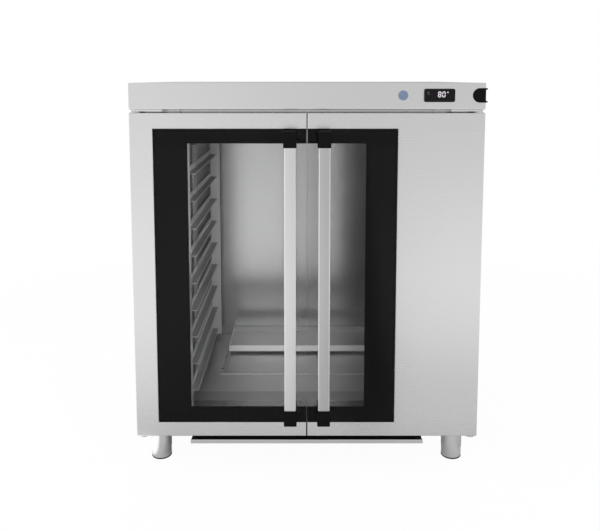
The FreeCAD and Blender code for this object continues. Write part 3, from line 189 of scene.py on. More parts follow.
def add_finishes(*builders):
    """Materials named for the functions that draw them."""
    for build in builders:
        material = bpy.data.materials.new(build.__name__)
        material.use_nodes = True
        tree = material.node_tree
        tree.nodes.clear()
        output = tree.nodes.new("ShaderNodeOutputMaterial")
        tree.links.new(build(Wire(tree)).socket, output.inputs["Surface"])
        finishes[build.__name__] = material
    print("finishes:", ", ".join(build.__name__ for build in builders))


# %% [markdown]
# ## Brushed stainless steel
# The case is folded from sheet that was drawn under a brushing belt, so its scratches are long and
# run level round the cabinet. An image texture would need UVs on every fold. Noise that is drawn
# out nearly three hundredfold gives the same streaks on any face: it changes with height on the
# walls, and with depth on the flat top. The streaks mainly change the roughness, as real scratches
# do. The legs are polished on a lathe, which leaves rings. The handles are flat bars, brushed along
# their length. Their bright edges, and a right bar that is darker than the left one, are painted as
# the picture to match shows them. That is probably light and shade on the real bars, and paint
# doesn't follow when the light changes.


# %% Case, leg and handle steel
STREAK_PITCH = 90.0
STREAK_FINE = 420.0
STREAK_STRETCH = 0.0035
ALONG_WALL = (STREAK_STRETCH, STREAK_STRETCH, 1.0)
ALONG_TOP = (STREAK_STRETCH, 1.0, STREAK_STRETCH)


def level_streaks(wire, scale):
    """Streaks that run level, on upright faces and on flat ones."""
    upright = noise(wire, scale, 3.0, 0.65, ALONG_WALL)
    flat = noise(wire, scale, 3.0, 0.65, ALONG_TOP)
    lies_flat = wire.math("ABSOLUTE", upward(wire)) > LEVEL_FACE
    return upright + (flat - upright) * lies_flat


def case_steel(wire):
    streaks = level_streaks(wire, STREAK_PITCH)
    hairlines = level_streaks(wire, STREAK_FINE)
    hands = noise(wire, 7.0, 3.0, 0.55)
    return principled(
        wire,
        Base_Color=blend(wire, streaks, gray(0.73), gray(0.755)),
        Metallic=1.0,
        Roughness=0.2 + 0.04 * streaks + 0.04 * hairlines + 0.06 * hands,
        Normal=bump(wire, streaks, 0.007, 0.0004),
    )


def leg_steel(wire):
    rings = noise(wire, 260.0, 2.0, 0.6, (0.05, 0.05, 1.0))
    return principled(
        wire,
        Base_Color=blend(wire, rings, gray(0.8), gray(0.86)),
        Metallic=1.0,
        Roughness=0.16 + 0.12 * rings,
        Normal=bump(wire, rings, 0.08, 0.0003),
    )


HANDLE_CENTRE = 0.041
HANDLE_FLAT = 0.0122
HANDLE_REACH = 0.07


def handle_steel(wire):
    lines = noise(wire, 520.0, 2.0, 0.6, (1.0, 1.0, 0.008))
    x = axis(wire, place(wire), 0)
    # Painted shade: the bars turn darker from left to right, so the right one is the darker.
    painted_shade_share = soft_step(wire, x, -HANDLE_REACH, HANDLE_REACH, 0.0, 0.85)
    flat = blend(wire, painted_shade_share + 0.15 * lines, gray(0.79), gray(0.5))
    # Painted highlight: the edges beyond the flat face are near white.
    from_middle = wire.math("ABSOLUTE", wire.math("ABSOLUTE", x) - HANDLE_CENTRE)
    return principled(
        wire,
        Base_Color=blend(wire, from_middle > HANDLE_FLAT, flat, gray(0.97)),
        Metallic=1.0,
        Roughness=0.24 + 0.14 * lines,
        Normal=bump(wire, lines, 0.06, 0.0002),
    )


add_finishes(case_steel, leg_steel, handle_steel)

# %% [markdown]
# ## Sheet inside the chamber
# The lining is plain rolled stainless sheet, not brushed, so it is a soft mirror with faint
# clouds. What shows through the window is mostly that mirror: the bright studio in the back wall,
# and the dark backs of the doors beside it. Only the roughness decides how soft those pictures
# are. The duct walls, and the ledges of the doors' inner skins, are painted darker to match the
# picture. That darker steel is painted shade. What makes them dark there isn't known.


# %% Chamber, duct and door skin
def chamber_steel(wire):
    clouds = noise(wire, 6.0, 3.0, 0.5)
    rolling = noise(wire, 60.0, 2.0, 0.5, (1.0, 1.0, 0.02))
    return principled(
        wire,
        Base_Color=blend(wire, clouds, gray(0.56), gray(0.6)),
        Metallic=1.0,
        Roughness=0.16 + 0.05 * clouds + 0.04 * rolling,
    )


# Painted shade: a darker copy of the chamber steel, for the duct walls and the fan grille.
def duct_steel(wire):
    clouds = noise(wire, 5.0, 3.0, 0.5)
    return principled(
        wire,
        Base_Color=blend(wire, clouds, gray(0.29), gray(0.33)),
        Metallic=1.0,
        Roughness=0.32 + 0.06 * clouds,
        Specular_Tint=gray(0.4),
    )


def skin_steel(wire):
    clouds = noise(wire, 6.0, 3.0, 0.5)
    # Painted shade: the faces of the inner skin that look up are darker.
    shaded_ledge = upward(wire) > LEVEL_FACE
    sheet = blend(wire, clouds, gray(0.58), gray(0.62))
    return principled(
        wire,
        Base_Color=blend(wire, shaded_ledge, sheet, gray(0.4)),
        Metallic=1.0,
        Roughness=0.18 + 0.06 * clouds,
    )


add_finishes(chamber_steel, duct_steel, skin_steel)

# %% [markdown]
# ## Steel that is painted by place
# In the picture the rails have bright free edges, with dark ledges and uprights. The floor is dull
# in front of the pan, and the pan's front wall is bright. Here the dark ledges and uprights are
# painted shade, and the pan's bright front wall is a painted highlight. The floor is simply painted
# darker in front of the pan. The pan's wall is upright in the solid. A bump whose height is a plain
# slope turns its light as a wall that leans back would. A solid with a leaning wall would be the
# better way.

# %% Rack, floor and pan
UPRIGHT_FACE = 0.3042
SHELF_EDGE = 0.2865


def rack_steel(wire):
    lines = noise(wire, 240.0, 2.0, 0.5, (1.0, 0.02, 1.0))
    own_look = blend(wire, lines, gray(0.6), gray(0.68))
    sideways = wire.math("ABSOLUTE", axis(wire, place(wire), 0))
    # Painted shade: the uprights and the rails' ledges are dark against the rails' own tone.
    faces_up = upward(wire) > LEVEL_FACE
    shaded_ledge = faces_up * (sideways > SHELF_EDGE)
    shaded_parts = wire.math("MAXIMUM", sideways > UPRIGHT_FACE, shaded_ledge)
    return principled(
        wire,
        Base_Color=blend(wire, shaded_parts, own_look, gray(0.27)),
        Metallic=0.4,
        Roughness=0.38 + 0.08 * lines,
    )


DARK_FRONT_END = -0.156
LIGHT_FLOOR_START = -0.152


def floor_steel(wire):
    clouds = noise(wire, 6.0, 3.0, 0.5)
    # The floor is darker in a strip at its front.
    darker_front = soft_step(wire, axis(wire, place(wire), 1), DARK_FRONT_END, LIGHT_FLOOR_START, 0.8, 0.0)
    return principled(
        wire,
        Base_Color=blend(wire, clouds * 0.2 + darker_front, gray(0.62), gray(0.42)),
        Metallic=0.85,
        Roughness=0.32 + 0.06 * clouds,
    )


PAN_FRONT_WALL = 0.1062
PAN_DRAFT = 0.26


def pan_steel(wire):
    clouds = noise(wire, 9.0, 3.0, 0.5)
    spot = place(wire)
    highlit_front_wall = axis(wire, spot, 1) < PAN_FRONT_WALL
    draft = axis(wire, spot, 2) * -PAN_DRAFT
    # Painted highlight: the front wall is near white, far lighter than the inside.
    pan_inside = blend(wire, clouds, gray(0.62), gray(0.68))
    return principled(
        wire,
        Base_Color=blend(wire, highlit_front_wall, pan_inside, gray(0.88)),
        Metallic=1.0,
        Roughness=0.36 + 0.06 * clouds,
        Normal=bump(wire, highlit_front_wall * draft, 1.0, 1.0),
    )


add_finishes(rack_steel, floor_steel, pan_steel)

# %% [markdown]
# ## Zinc, pins, heaters and the fan
# Hidden sheet is galvanised: the zinc freezes into flat crystals, each a slightly different grey. A
# Voronoi pattern is just that, cells with one random colour each. Pins are turned, so their lines
# run round them, the heaters are mottled by heat, and sprayed paint has the dimples of orange peel.


# %% Zinc, pins, heaters and the fan
def zinc_sheet(wire):
    values = {"Vector": place(wire), "Scale": 95.0}
    spangle = wire.node("ShaderNodeTexVoronoi", sockets=values, output="Color")
    tone = axis(wire, spangle, 0)
    return principled(
        wire,
        Base_Color=blend(wire, tone, (0.46, 0.48, 0.5, 1.0), (0.64, 0.66, 0.68, 1.0)),
        Metallic=1.0,
        Roughness=0.34 + 0.16 * tone,
    )


def pin_steel(wire):
    turning = noise(wire, 900.0, 2.0, 0.5, (0.1, 0.1, 1.0))
    return principled(
        wire,
        Base_Color=blend(wire, turning, gray(0.56), gray(0.66)),
        Metallic=1.0,
        Roughness=0.2 + 0.15 * turning,
    )


def heater_tube(wire):
    heat = noise(wire, 26.0, 4.0, 0.6)
    return principled(
        wire,
        Base_Color=blend(wire, heat, (0.3, 0.27, 0.24, 1.0), (0.44, 0.41, 0.38, 1.0)),
        Metallic=1.0,
        Roughness=0.38 + 0.2 * heat,
    )


def wheel_sheet(wire):
    values = {"Vector": place(wire), "Scale": 140.0}
    tone = axis(wire, wire.node("ShaderNodeTexVoronoi", sockets=values, output="Color"), 1)
    return principled(
        wire,
        Base_Color=blend(wire, tone, gray(0.52), gray(0.66)),
        Metallic=1.0,
        Roughness=0.3 + 0.14 * tone,
    )


def motor_paint(wire):
    orange_peel = noise(wire, 520.0, 2.0, 0.5)
    return principled(
        wire,
        Base_Color=blend(wire, orange_peel, gray(0.035), gray(0.055)),
        Roughness=0.4 + 0.15 * orange_peel,
        Normal=bump(wire, orange_peel, 0.2, 0.0004),
    )


add_finishes(zinc_sheet, pin_steel, heater_tube, wheel_sheet, motor_paint)

# %% [markdown]
# ## Glass and the black border
# Each door has a pane of toughened glass, with a black border fired onto its back. Rays of light
# from a lamp can't bend through solid glass in a short render, so the pane turns plainly
# see-through for shadow rays only. Wiping leaves very faint smears, which is the roughness here.
# Real glass bends light by an index of about 1.5. A lower one, and a border with no shine, keep
# the reflections as weak as the picture shows them.


# %% Glass and border
GLASS_BEND = 1.25


def window_glass(wire):
    smears = noise(wire, 9.0, 4.0, 0.6, (1.0, 1.0, 0.35))
    pane = principled(
        wire,
        Base_Color=(0.955, 0.96, 0.957, 1.0),
        Roughness=0.012 * smears,
        IOR=GLASS_BEND,
        Transmission_Weight=1.0,
    )
    clear = wire.node("ShaderNodeBsdfTransparent", sockets={"Color": (0.92, 0.925, 0.922, 1.0)})
    from_lamp = wire.node("ShaderNodeLightPath", output="Is Shadow Ray")
    return wire.node("ShaderNodeMixShader", sockets={0: from_lamp, 1: pane, 2: clear})


def black_enamel(wire):
    mottle = noise(wire, 240.0, 3.0, 0.6)
    return principled(
        wire,
        Base_Color=blend(wire, mottle, gray(0.004), gray(0.008)),
        Roughness=0.3 + 0.15 * mottle,
        Specular_IOR_Level=0.0,
    )


add_finishes(window_glass, black_enamel)

# %% [markdown]
# ## Plastics, rubber and insulation
# Moulded plastic is never one smooth black: the mould is spark-eroded, which leaves a fine even
# grain that breaks up the shine. Each part gets that grain at its own size, as bump and as a little
# change of roughness, over a colour that drifts slightly. Two pieces on the roof plate and in the
# walls are neither: sawn aluminium has straight lines, and mineral wool has fibres in clumps.


# %% One recipe for moulded parts, and what uses it
def moulded(wire, dark, light, roughness, grain_scale, grain_depth, sheen=0.4):
    """Plastic from a grained mould, between two colours."""
    drift = noise(wire, 30.0, 3.0, 0.5)
    grain = noise(wire, grain_scale, 2.0, 0.5)
    return principled(
        wire,
        Base_Color=blend(wire, drift, dark, light),
        Roughness=roughness + 0.12 * grain,
        Specular_IOR_Level=sheen,
        Normal=bump(wire, grain, grain_depth, 0.0003),
    )


def cap_plastic(wire):
    return moulded(wire, gray(0.005), gray(0.008), 0.6, 1400.0, 0.18, 0.03)


def gutter_black(wire):
    return moulded(wire, gray(0.013), gray(0.018), 0.42, 900.0, 0.15, 0.12)


def seal_rubber(wire):
    return moulded(wire, gray(0.012), gray(0.022), 0.66, 1100.0, 0.3)


def bush_nylon(wire):
    dark, light = (0.66, 0.64, 0.58, 1.0), (0.74, 0.72, 0.67, 1.0)
    return moulded(wire, dark, light, 0.4, 800.0, 0.1)


def thermostat_plastic(wire):
    return moulded(wire, gray(0.005), gray(0.008), 0.24, 1600.0, 0.06, 0.15)


def case_plastic(wire):
    return moulded(wire, gray(0.02), gray(0.032), 0.42, 1000.0, 0.2)


def button_blue(wire):
    dark, light = (0.135, 0.18, 0.28, 1.0), (0.155, 0.205, 0.3, 1.0)
    return moulded(wire, dark, light, 0.32, 1500.0, 0.08)


def terminal_plastic(wire):
    dark, light = (0.6, 0.59, 0.54, 1.0), (0.68, 0.67, 0.62, 1.0)
    return moulded(wire, dark, light, 0.45, 1000.0, 0.15)


add_finishes(
    cap_plastic, gutter_black, seal_rubber, bush_nylon, thermostat_plastic, case_plastic,
    button_blue, terminal_plastic,
)


# %% Aluminium and mineral wool
def relay_aluminium(wire):
    sawn = noise(wire, 700.0, 2.0, 0.6, (1.0, 0.03, 1.0))
    return principled(
        wire,
        Base_Color=blend(wire, sawn, gray(0.66), gray(0.76)),
        Metallic=1.0,
        Roughness=0.32 + 0.16 * sawn,
    )


def mineral_wool(wire):
    fibres = noise(wire, 420.0, 4.0, 0.7, (0.2, 1.0, 1.0))
    clumps = noise(wire, 40.0, 3.0, 0.6)
    return principled(
        wire,
        Base_Color=blend(wire, fibres, (0.42, 0.37, 0.22, 1.0), (0.68, 0.62, 0.4, 1.0)),
        Roughness=0.85 + 0.1 * clumps,
        Normal=bump(wire, fibres + clumps, 0.6, 0.002),
    )


add_finishes(relay_aluminium, mineral_wool)

# %% [markdown]
# ## Handing the finishes out
# The record that travels with the solids already says which finish each piece has. Every slot
# there has a function of the same name above, so one loop dresses all sixty pieces. Pieces of one
# slot still look different in the picture: the ducts, the doors' inner skins, the racks, the
# chamber's floor and the pan have finishes of their own.

# %% Dress the solids
OWN_FINISH = {
    "left_duct_panel": "duct_steel", "right_duct_panel": "duct_steel", "fan_grille": "duct_steel",
    "left_tray_rack": "rack_steel", "right_tray_rack": "rack_steel", "pan_guides": "rack_steel",
    "floor_liner": "floor_steel", "front_sill": "floor_steel", "water_pan": "pan_steel",
    "left_door_back": "skin_steel", "right_door_back": "skin_steel",
}
for row in frame["record"]["subparts"]:
    mesh = frame["nodes"][row["node"]].data
    mesh.materials.clear()
    mesh.materials.append(finishes[OWN_FINISH.get(row["node"], row["material_slot"])])
print("dressed", len(frame["nodes"]), "solids in", len(finishes), "finishes")

# %% [markdown]
# ## Screws and rivets
# The back, the cover and the inner skins of the doors are held by pan-head screws, and the rails
# by rivets. They repeat dozens of times, so one head is modelled and Geometry Nodes puts a copy at
# each point, turned to face out of the sheet and spun by a random amount, as a hand would leave it.


# %% One screw head and one rivet head, both of radius 1
def turned(rings, steps):
    """Solid of revolution about Z, from (radius, height) rings, closed by a flat bottom."""
    shape = bmesh.new()
    turns = [2 * math.pi * i / steps for i in range(steps)]
    around = [(math.cos(turn), math.sin(turn)) for turn in turns]
    loops = [[shape.verts.new((r * c, r * s, z)) for c, s in around] for r, z in rings]
    shape.faces.new(loops[0][::-1])
    for low, high in zip(loops, loops[1:]):
        for i in range(steps):
            j = (i + 1) % steps
            shape.faces.new((low[i], low[j], high[j], high[i]))
    return shape, loops[-1]


def loop_edges(shape, loop):
    pairs = zip(loop, loop[1:] + loop[:1])
    return [shape.edges.get(pair) or shape.edges.new(pair) for pair in pairs]


def screw_head():
    top, bottom, taper = 0.54, 0.26, 0.8
    shape, rim = turned([(1.0, 0.0), (1.0, 0.22), (0.9, 0.42), (0.68, top)], 16)
    wide, narrow = 0.46, 0.12
    quarter = [(wide, -narrow), (wide, narrow), (narrow, narrow)]
    cross = []
    for turn in range(4):
        c, s = round(math.cos(turn * math.pi / 2)), round(math.sin(turn * math.pi / 2))
        cross += [(x * c - y * s, x * s + y * c) for x, y in quarter]
    mouth = [shape.verts.new((x, y, top)) for x, y in cross]
    floor = [shape.verts.new((x * taper, y * taper, bottom)) for x, y in cross]
    for i in range(len(cross)):
        j = (i + 1) % len(cross)
        shape.faces.new((mouth[i], mouth[j], floor[j], floor[i]))
    shape.faces.new(floor)
    ring = loop_edges(shape, rim) + loop_edges(shape, mouth)
    bmesh.ops.triangle_fill(shape, edges=ring, use_beauty=True)
    return shape


def rivet_head():
    shape, rim = turned([(1.0, 0.0), (0.94, 0.16), (0.7, 0.32), (0.38, 0.38), (0.3, 0.28)], 14)
    shape.faces.new(rim)
    return shape


def solid(name, shape):
    """Object from a closed shape, with its faces pointing outwards."""
    bmesh.ops.recalc_face_normals(shape, faces=shape.faces)
    mesh = bpy.data.meshes.new(name)
    shape.to_mesh(mesh)
    shape.free()
    piece = bpy.data.objects.new(name, mesh)
    scene.collection.objects.link(piece)
    return piece


screw = solid("screw_pattern", screw_head())
rivet = solid("rivet_pattern", rivet_head())
print("screw head", len(screw.data.polygons), "faces, rivet head", len(rivet.data.polygons))


# %% The tree that sets a head at every point
def fastener_tree():
    tree = bpy.data.node_groups.new("fasteners", "GeometryNodeTree")
    inputs = (
        ("Geometry", "NodeSocketGeometry"), ("Head", "NodeSocketObject"),
        ("Diameter", "NodeSocketFloat"), ("Turn Seed", "NodeSocketInt"),
        ("Finish", "NodeSocketMaterial"),
    )
    for name, kind in inputs:
        tree.interface.new_socket(name, in_out="INPUT", socket_type=kind)
    tree.interface.new_socket("Geometry", in_out="OUTPUT", socket_type="NodeSocketGeometry")
    wire = Wire(tree)
    given = tree.nodes.new("NodeGroupInput").outputs
    points, head, diameter, seed, material = [Wire(tree, given[name]) for name, _ in inputs]
    by_name = {"data_type": "FLOAT_VECTOR"}
    facing = wire.node("GeometryNodeInputNamedAttribute", by_name, {"Name": "facing"})
    outward = wire.node("FunctionNodeAlignRotationToVector", {"axis": "Z"}, {"Vector": facing})
    half_turn = {2: 0.0, 3: math.pi, 8: seed}
    angle = wire.node("FunctionNodeRandomValue", {"data_type": "FLOAT"}, half_turn, 1)
    about_z = {"Axis": (0.0, 0.0, 1.0), "Angle": angle}
    spin = wire.node("FunctionNodeAxisAngleToRotation", None, about_z)
    own_axes = {"rotation_space": "LOCAL"}
    turn = wire.node("FunctionNodeRotateRotation", own_axes, {0: outward, 1: spin})
    shape = wire.node("GeometryNodeObjectInfo", None, {"Object": head}, "Geometry")
    size = wire.node("ShaderNodeCombineXYZ", None, {i: diameter * 0.5 for i in range(3)})
    spread = {"Points": points, "Instance": shape, "Rotation": turn, "Scale": size}
    heads = wire.node("GeometryNodeInstanceOnPoints", None, spread)
    merged = wire.node("GeometryNodeRealizeInstances", None, {"Geometry": heads})
    own_look = {"Geometry": merged, "Material": material}
    dressed = wire.node("GeometryNodeSetMaterial", None, own_look)
    tree.links.new(dressed.socket, tree.nodes.new("NodeGroupOutput").inputs[0])
    return tree


FASTENERS = fastener_tree()
CREASE = math.radians(40)


def fasteners(name, spots, head, diameter, slot, body, seed):
    """Heads at (point, outward direction) spots in millimetres, as one plain mesh on a body."""
    mesh = bpy.data.meshes.new(name)
    mesh.from_pydata([Vector(point) * MM for point, _ in spots], [], [])
    facing = mesh.attributes.new("facing", "FLOAT_VECTOR", "POINT")
    facing.data.foreach_set("vector", [value for _, way in spots for value in way])
    piece = bpy.data.objects.new(name, mesh)
    scene.collection.objects.link(piece)
    modifier = piece.modifiers.new("fasteners", "NODES")
    modifier.node_group = FASTENERS
    values = {"Head": head, "Diameter": diameter * MM, "Turn Seed": seed, "Finish": finishes[slot]}
    for socket in FASTENERS.interface.items_tree:
        if socket.in_out == "INPUT" and socket.name in values:
            modifier[socket.identifier] = values[socket.name]
    depsgraph = bpy.context.evaluated_depsgraph_get()
    plain = bpy.data.meshes.new_from_object(piece.evaluated_get(depsgraph))
    piece.modifiers.clear()
    piece.data = plain
    plain.shade_smooth()
    plain.set_sharp_from_angle(angle=CREASE)
    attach(piece, body)
    print(name, len(spots), "heads,", len(plain.polygons), "faces")


# %% [markdown]
# ### Where they go
# Each row of screws follows the edge of the sheet that it holds, so its places are worked out from
# that sheet's own box and stay right if the cabinet changes size.


# %% Rows along the sheets
def millimetres(node):
    low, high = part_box(node)
    return low / MM, high / MM


def spread_out(start, end, count):
    return [start + (end - start) * i / (count - 1) for i in range(count)]


EDGE = 14.0
COVER_SCREWS = (-60.0, 130.0)
COVER_SCREW_RISE = 0.7 * EDGE
HINGE_SCREW_INSET = 12.5
HINGE_SCREWS = (50.0, 90.0, 130.0)
CASE_SCREW = 8.0
BACK, LEFT, RIGHT = (0, 1, 0), (-1, 0, 0), (1, 0, 0)
DOWN, UP = (0, 0, -1), (0, 0, 1)

low, high = millimetres("back_panel")
spots = []
for z in spread_out(low.z + EDGE, high.z - EDGE, 6):
    spots += [((x, high.y, z), BACK) for x in (low.x + EDGE, high.x - EDGE)]
for z in (low.z + EDGE, high.z - EDGE):
    spots += [((x, high.y, z), BACK) for x in spread_out(low.x + EDGE, high.x - EDGE, 6)[1:-1]]
low, high = millimetres("top_cover")
cover_x = (low.x + EDGE, *COVER_SCREWS, high.x - EDGE)
spots += [((x, high.y, low.z + COVER_SCREW_RISE), BACK) for x in cover_x]
low, high = millimetres("hinge_plates")
for x in (low.x + HINGE_SCREW_INSET, high.x - HINGE_SCREW_INSET):
    spots += [((x, low.y + inset, low.z), DOWN) for inset in HINGE_SCREWS]
fasteners("case_screws", spots, screw, CASE_SCREW, "pin_steel", "cabinet", 3)

# %% Screws in the doors' inner skins
SKIN_SCREW = 7.0

for side in ("left", "right"):
    low, high = millimetres(side + "_door_back")
    outer, inner = low.x + EDGE, high.x - EDGE
    if side == "right":
        outer, inner = inner, outer
    spots = [((outer, high.y, z), BACK) for z in spread_out(low.z + EDGE, high.z - EDGE, 6)]
    spots += [((x, high.y, low.z + EDGE), BACK) for x in spread_out(outer, inner, 4)[1:]]
    fasteners(side + "_door_screws", spots, screw, SKIN_SCREW, "pin_steel", side + "_door", 5)

# %% Rivets in the racks, the grille and the pan guides
RIVET = 6.0
RAIL_STANDOFF = 5.0
RAIL_WEB_MIDDLE = 8.5
RAIL_SHEET = 1.5
TRAY_PITCH = 72.0
UPRIGHT_RIVETS = (122.0, 150.0)
UPRIGHT_RISE = 18.0
GRILLE_SCREW_RADIUS = 52.0
GUIDE_SCREW_INSET = 5.5
SHEET = 1.2

spots = []
for side, sign, way in (("left", -1, RIGHT), ("right", 1, LEFT)):
    low, high = millimetres(side + "_tray_rack")
    web_x = sign * (max(abs(low.x), abs(high.x)) - RAIL_STANDOFF - RAIL_SHEET)
    first = low.z + UPRIGHT_RISE + RAIL_SHEET + RAIL_WEB_MIDDLE
    for level in range(int((high.z - first) / TRAY_PITCH) + 1):
        z = first + level * TRAY_PITCH
        spots += [((web_x, low.y + inset, z), way) for inset in UPRIGHT_RIVETS]
low, high = millimetres("fan_grille")
middle = (low + high) / 2
for turn in range(4):
    angle = math.radians(45 + 90 * turn)
    across = GRILLE_SCREW_RADIUS * math.cos(angle)
    rise = GRILLE_SCREW_RADIUS * math.sin(angle)
    spots.append(((low.x, middle.y + across, middle.z + rise), LEFT))
low, high = millimetres("pan_guides")
for x in (low.x + GUIDE_SCREW_INSET, high.x - GUIDE_SCREW_INSET):
    spots += [((x, y, low.z + SHEET), UP) for y in spread_out(low.y + EDGE, high.y - EDGE, 4)]
fasteners("chamber_rivets", spots, rivet, RIVET, "pin_steel", "cabinet", 8)
for pattern in (screw, rivet):
    bpy.data.objects.remove(pattern)

# %% [markdown]
# ## The thermostat's lit number
# Behind a smoked window, small bars of light make the number. A text object could draw it, but the
# real digits are seven straight bars with pointed ends, so they are drawn as bars: one outline for
# each bar, leaned a little to the right, and pushed out by a hair to stand on the window.


# %% Flat shapes that stand on the thermostat
def raised(name, outlines, wall_y, rise, material):
    """Closed flat shapes on a wall that faces the front, from (x, z) outlines in millimetres."""
    shape = bmesh.new()
    for outline in outlines:
        corners = [Vector((x, wall_y, z)) * MM for x, z in outline]
        face = shape.faces.new([shape.verts.new(corner) for corner in corners])
        grown = bmesh.ops.extrude_face_region(shape, geom=[face])["geom"]
        front = [vertex for vertex in grown if isinstance(vertex, bmesh.types.BMVert)]
        bmesh.ops.translate(shape, verts=front, vec=(0.0, -rise * MM, 0.0))
    piece = solid(name, shape)
    piece.data.materials.append(material)
    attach(piece, "cabinet")
    print(name, len(outlines), "shapes")


def rounded(x0, x1, z0, z1, radius, steps=6):
    corners = ((x1 - radius, z1 - radius, 0), (x0 + radius, z1 - radius, 1),
               (x0 + radius, z0 + radius, 2), (x1 - radius, z0 + radius, 3))
    outline = []
    for x, z, quarter in corners:
        for i in range(steps + 1):
            angle = math.pi / 2 * (quarter + i / steps)
            outline.append((x + radius * math.cos(angle), z + radius * math.sin(angle)))
    return outline


# %% Digits, degree mark and heating mark
DIGIT_WIDTH = 8.2
DIGIT_HEIGHT = 14.4
DIGIT_STEP = 10.1
STROKE = 2.35
BAR_GAP = 0.2
LEAN = 0.05
DIGITS = {"8": "abcdefg", "0": "abcdef"}


def bar_outline(bar, x, z):
    """One bar of a seven-bar digit whose lower left corner is at (x, z)."""
    half = STROKE / 2
    left, right = x + half, x + DIGIT_WIDTH - half
    rows = [z + half, z + DIGIT_HEIGHT / 2, z + DIGIT_HEIGHT - half]
    level = {"d": rows[0], "g": rows[1], "a": rows[2]}
    if bar in level:
        u0, u1, v = left + BAR_GAP, right - BAR_GAP, level[bar]
        points = [(u0, v), (u0 + half, v - half), (u1 - half, v - half),
                  (u1, v), (u1 - half, v + half), (u0 + half, v + half)]
    else:
        u = left if bar in "ef" else right
        low_row = 0 if bar in "ce" else 1
        v0, v1 = rows[low_row] + BAR_GAP, rows[low_row + 1] - BAR_GAP
        points = [(u, v0), (u + half, v0 + half), (u + half, v1 - half),
                  (u, v1), (u - half, v1 - half), (u - half, v0 + half)]
    return [(px + LEAN * (pz - z), pz) for px, pz in points]


def wavy_line(x, z0, z1, width, swing, steps=10):
    heights = spread_out(z0, z1, steps)
    middle = [x + swing * math.sin(2 * math.pi * i / (steps - 1)) for i in range(steps)]
    left = [(m - width / 2, z) for m, z in zip(middle, heights)]
    right = [(m + width / 2, z) for m, z in zip(middle, heights)]
    return left + right[::-1]


def glowing(wire, grain_scale, dark, light):
    """Light that is a little uneven, between two colours."""
    glow = noise(wire, grain_scale, 2.0, 0.5)
    return principled(
        wire,
        Base_Color=gray(0.02),
        Roughness=0.5,
        Emission_Color=blend(wire, glow, dark, light),
        Emission_Strength=1.0,
    )


def lit_digit(wire):
    return glowing(wire, 500.0, (0.7, 0.63, 0.73, 1.0), (0.86, 0.8, 0.88, 1.0))


def dim_mark(wire):
    return glowing(wire, 600.0, (0.05, 0.034, 0.018, 1.0), (0.085, 0.058, 0.03, 1.0))


def smoked_window(wire):
    dust = noise(wire, 300.0, 3.0, 0.6)
    return principled(
        wire,
        Base_Color=blend(wire, dust, gray(0.003), gray(0.007)),
        Roughness=0.06 + 0.08 * dust,
        Specular_IOR_Level=0.15,
    )


add_finishes(lit_digit, dim_mark, smoked_window)

# %% Window, number and marks
WINDOW_RISE = 0.3
WINDOW_INSET = 4.0
WINDOW_TOP_INSET = 3.0
WINDOW_ROUND = 3.0
MARK_RISE = 0.12
NUMBER = "80"
NUMBER_LEFT = -5.1
NUMBER_DOWN = -4.8
DEGREE_LEFT, DEGREE_RIGHT = 17.2, 20.4
DEGREE_LOW, DEGREE_HIGH = 5.8, 9.0
DEGREE_ROUND = 1.4
WAVES = (7.4, 9.2, 11.0)
WAVE_LOW, WAVE_HIGH = 1.4, 9.2
WAVE_WIDTH = 0.9
WAVE_SWING = 0.5

low, high = millimetres("thermostat_front")
middle = (low + high) / 2
window = rounded(
    low.x + WINDOW_INSET, high.x - WINDOW_INSET,
    low.z + WINDOW_INSET, high.z - WINDOW_TOP_INSET, WINDOW_ROUND,
)
smoked = finishes["smoked_window"]
raised("thermostat_window", [window], low.y, WINDOW_RISE, smoked)
mark_y = low.y - WINDOW_RISE
lit = finishes["lit_digit"]
bars = []
for position, digit in enumerate(NUMBER):
    digit_x = middle.x + NUMBER_LEFT + position * DIGIT_STEP
    bars += [bar_outline(bar, digit_x, middle.z + NUMBER_DOWN) for bar in DIGITS[digit]]
raised("lit_digits", bars, mark_y, MARK_RISE, lit)
degree = rounded(
    middle.x + DEGREE_LEFT, middle.x + DEGREE_RIGHT,
    middle.z + DEGREE_LOW, middle.z + DEGREE_HIGH, DEGREE_ROUND,
)
raised("degree_mark", [degree], mark_y, MARK_RISE, lit)
wave_z = (middle.z + WAVE_LOW, middle.z + WAVE_HIGH)
waves = [wavy_line(low.x + x, *wave_z, WAVE_WIDTH, WAVE_SWING) for x in WAVES]
raised("heating_mark", waves, mark_y, MARK_RISE, finishes["dim_mark"])

# %% [markdown]
# ## Dark rings at the feet
# Each foot gets a thin dark ring over its rounded bottom edge, which is the thin dark line in
# the picture. A closed cross-section turned about the foot's axis gives it, once for each of the
# four feet.


# %% Foot rings
def rings(name, profile, centres, steps, material, slot):
    """Closed (radius, height) profile turned about an upright axis at each centre."""
    shape = bmesh.new()
    count = len(profile)
    for cx, cy in centres:
        loops = []
        for i in range(steps):
            turn = 2 * math.pi * i / steps
            c, s = math.cos(turn), math.sin(turn)
            spots = [Vector((cx + r * c, cy + r * s, z)) * MM for r, z in profile]
            loops.append([shape.verts.new(spot) for spot in spots])
        for here, there in zip(loops, loops[1:] + loops[:1]):
            for k in range(count):
                m = (k + 1) % count
                shape.faces.new((here[k], there[k], there[m], here[m]))
    piece = solid(name, shape)
    piece.data.shade_smooth()
    piece.data.set_sharp_from_angle(angle=CREASE)
    piece.data.materials.append(material)
    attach(piece, "cabinet")
    print(name, len(centres), "rings,", len(piece.data.polygons), "faces")


FOOT_RADIUS = 25.4
FOOT_ROUND = 2.5
ROUND_ANGLES = (5, 20, 40, 60, 80)
RING_HEIGHT = 4.0
RING_PROUD = 0.4
RING_BITE = 0.3
RING_BEVEL = 0.4
RING_STEPS = 48

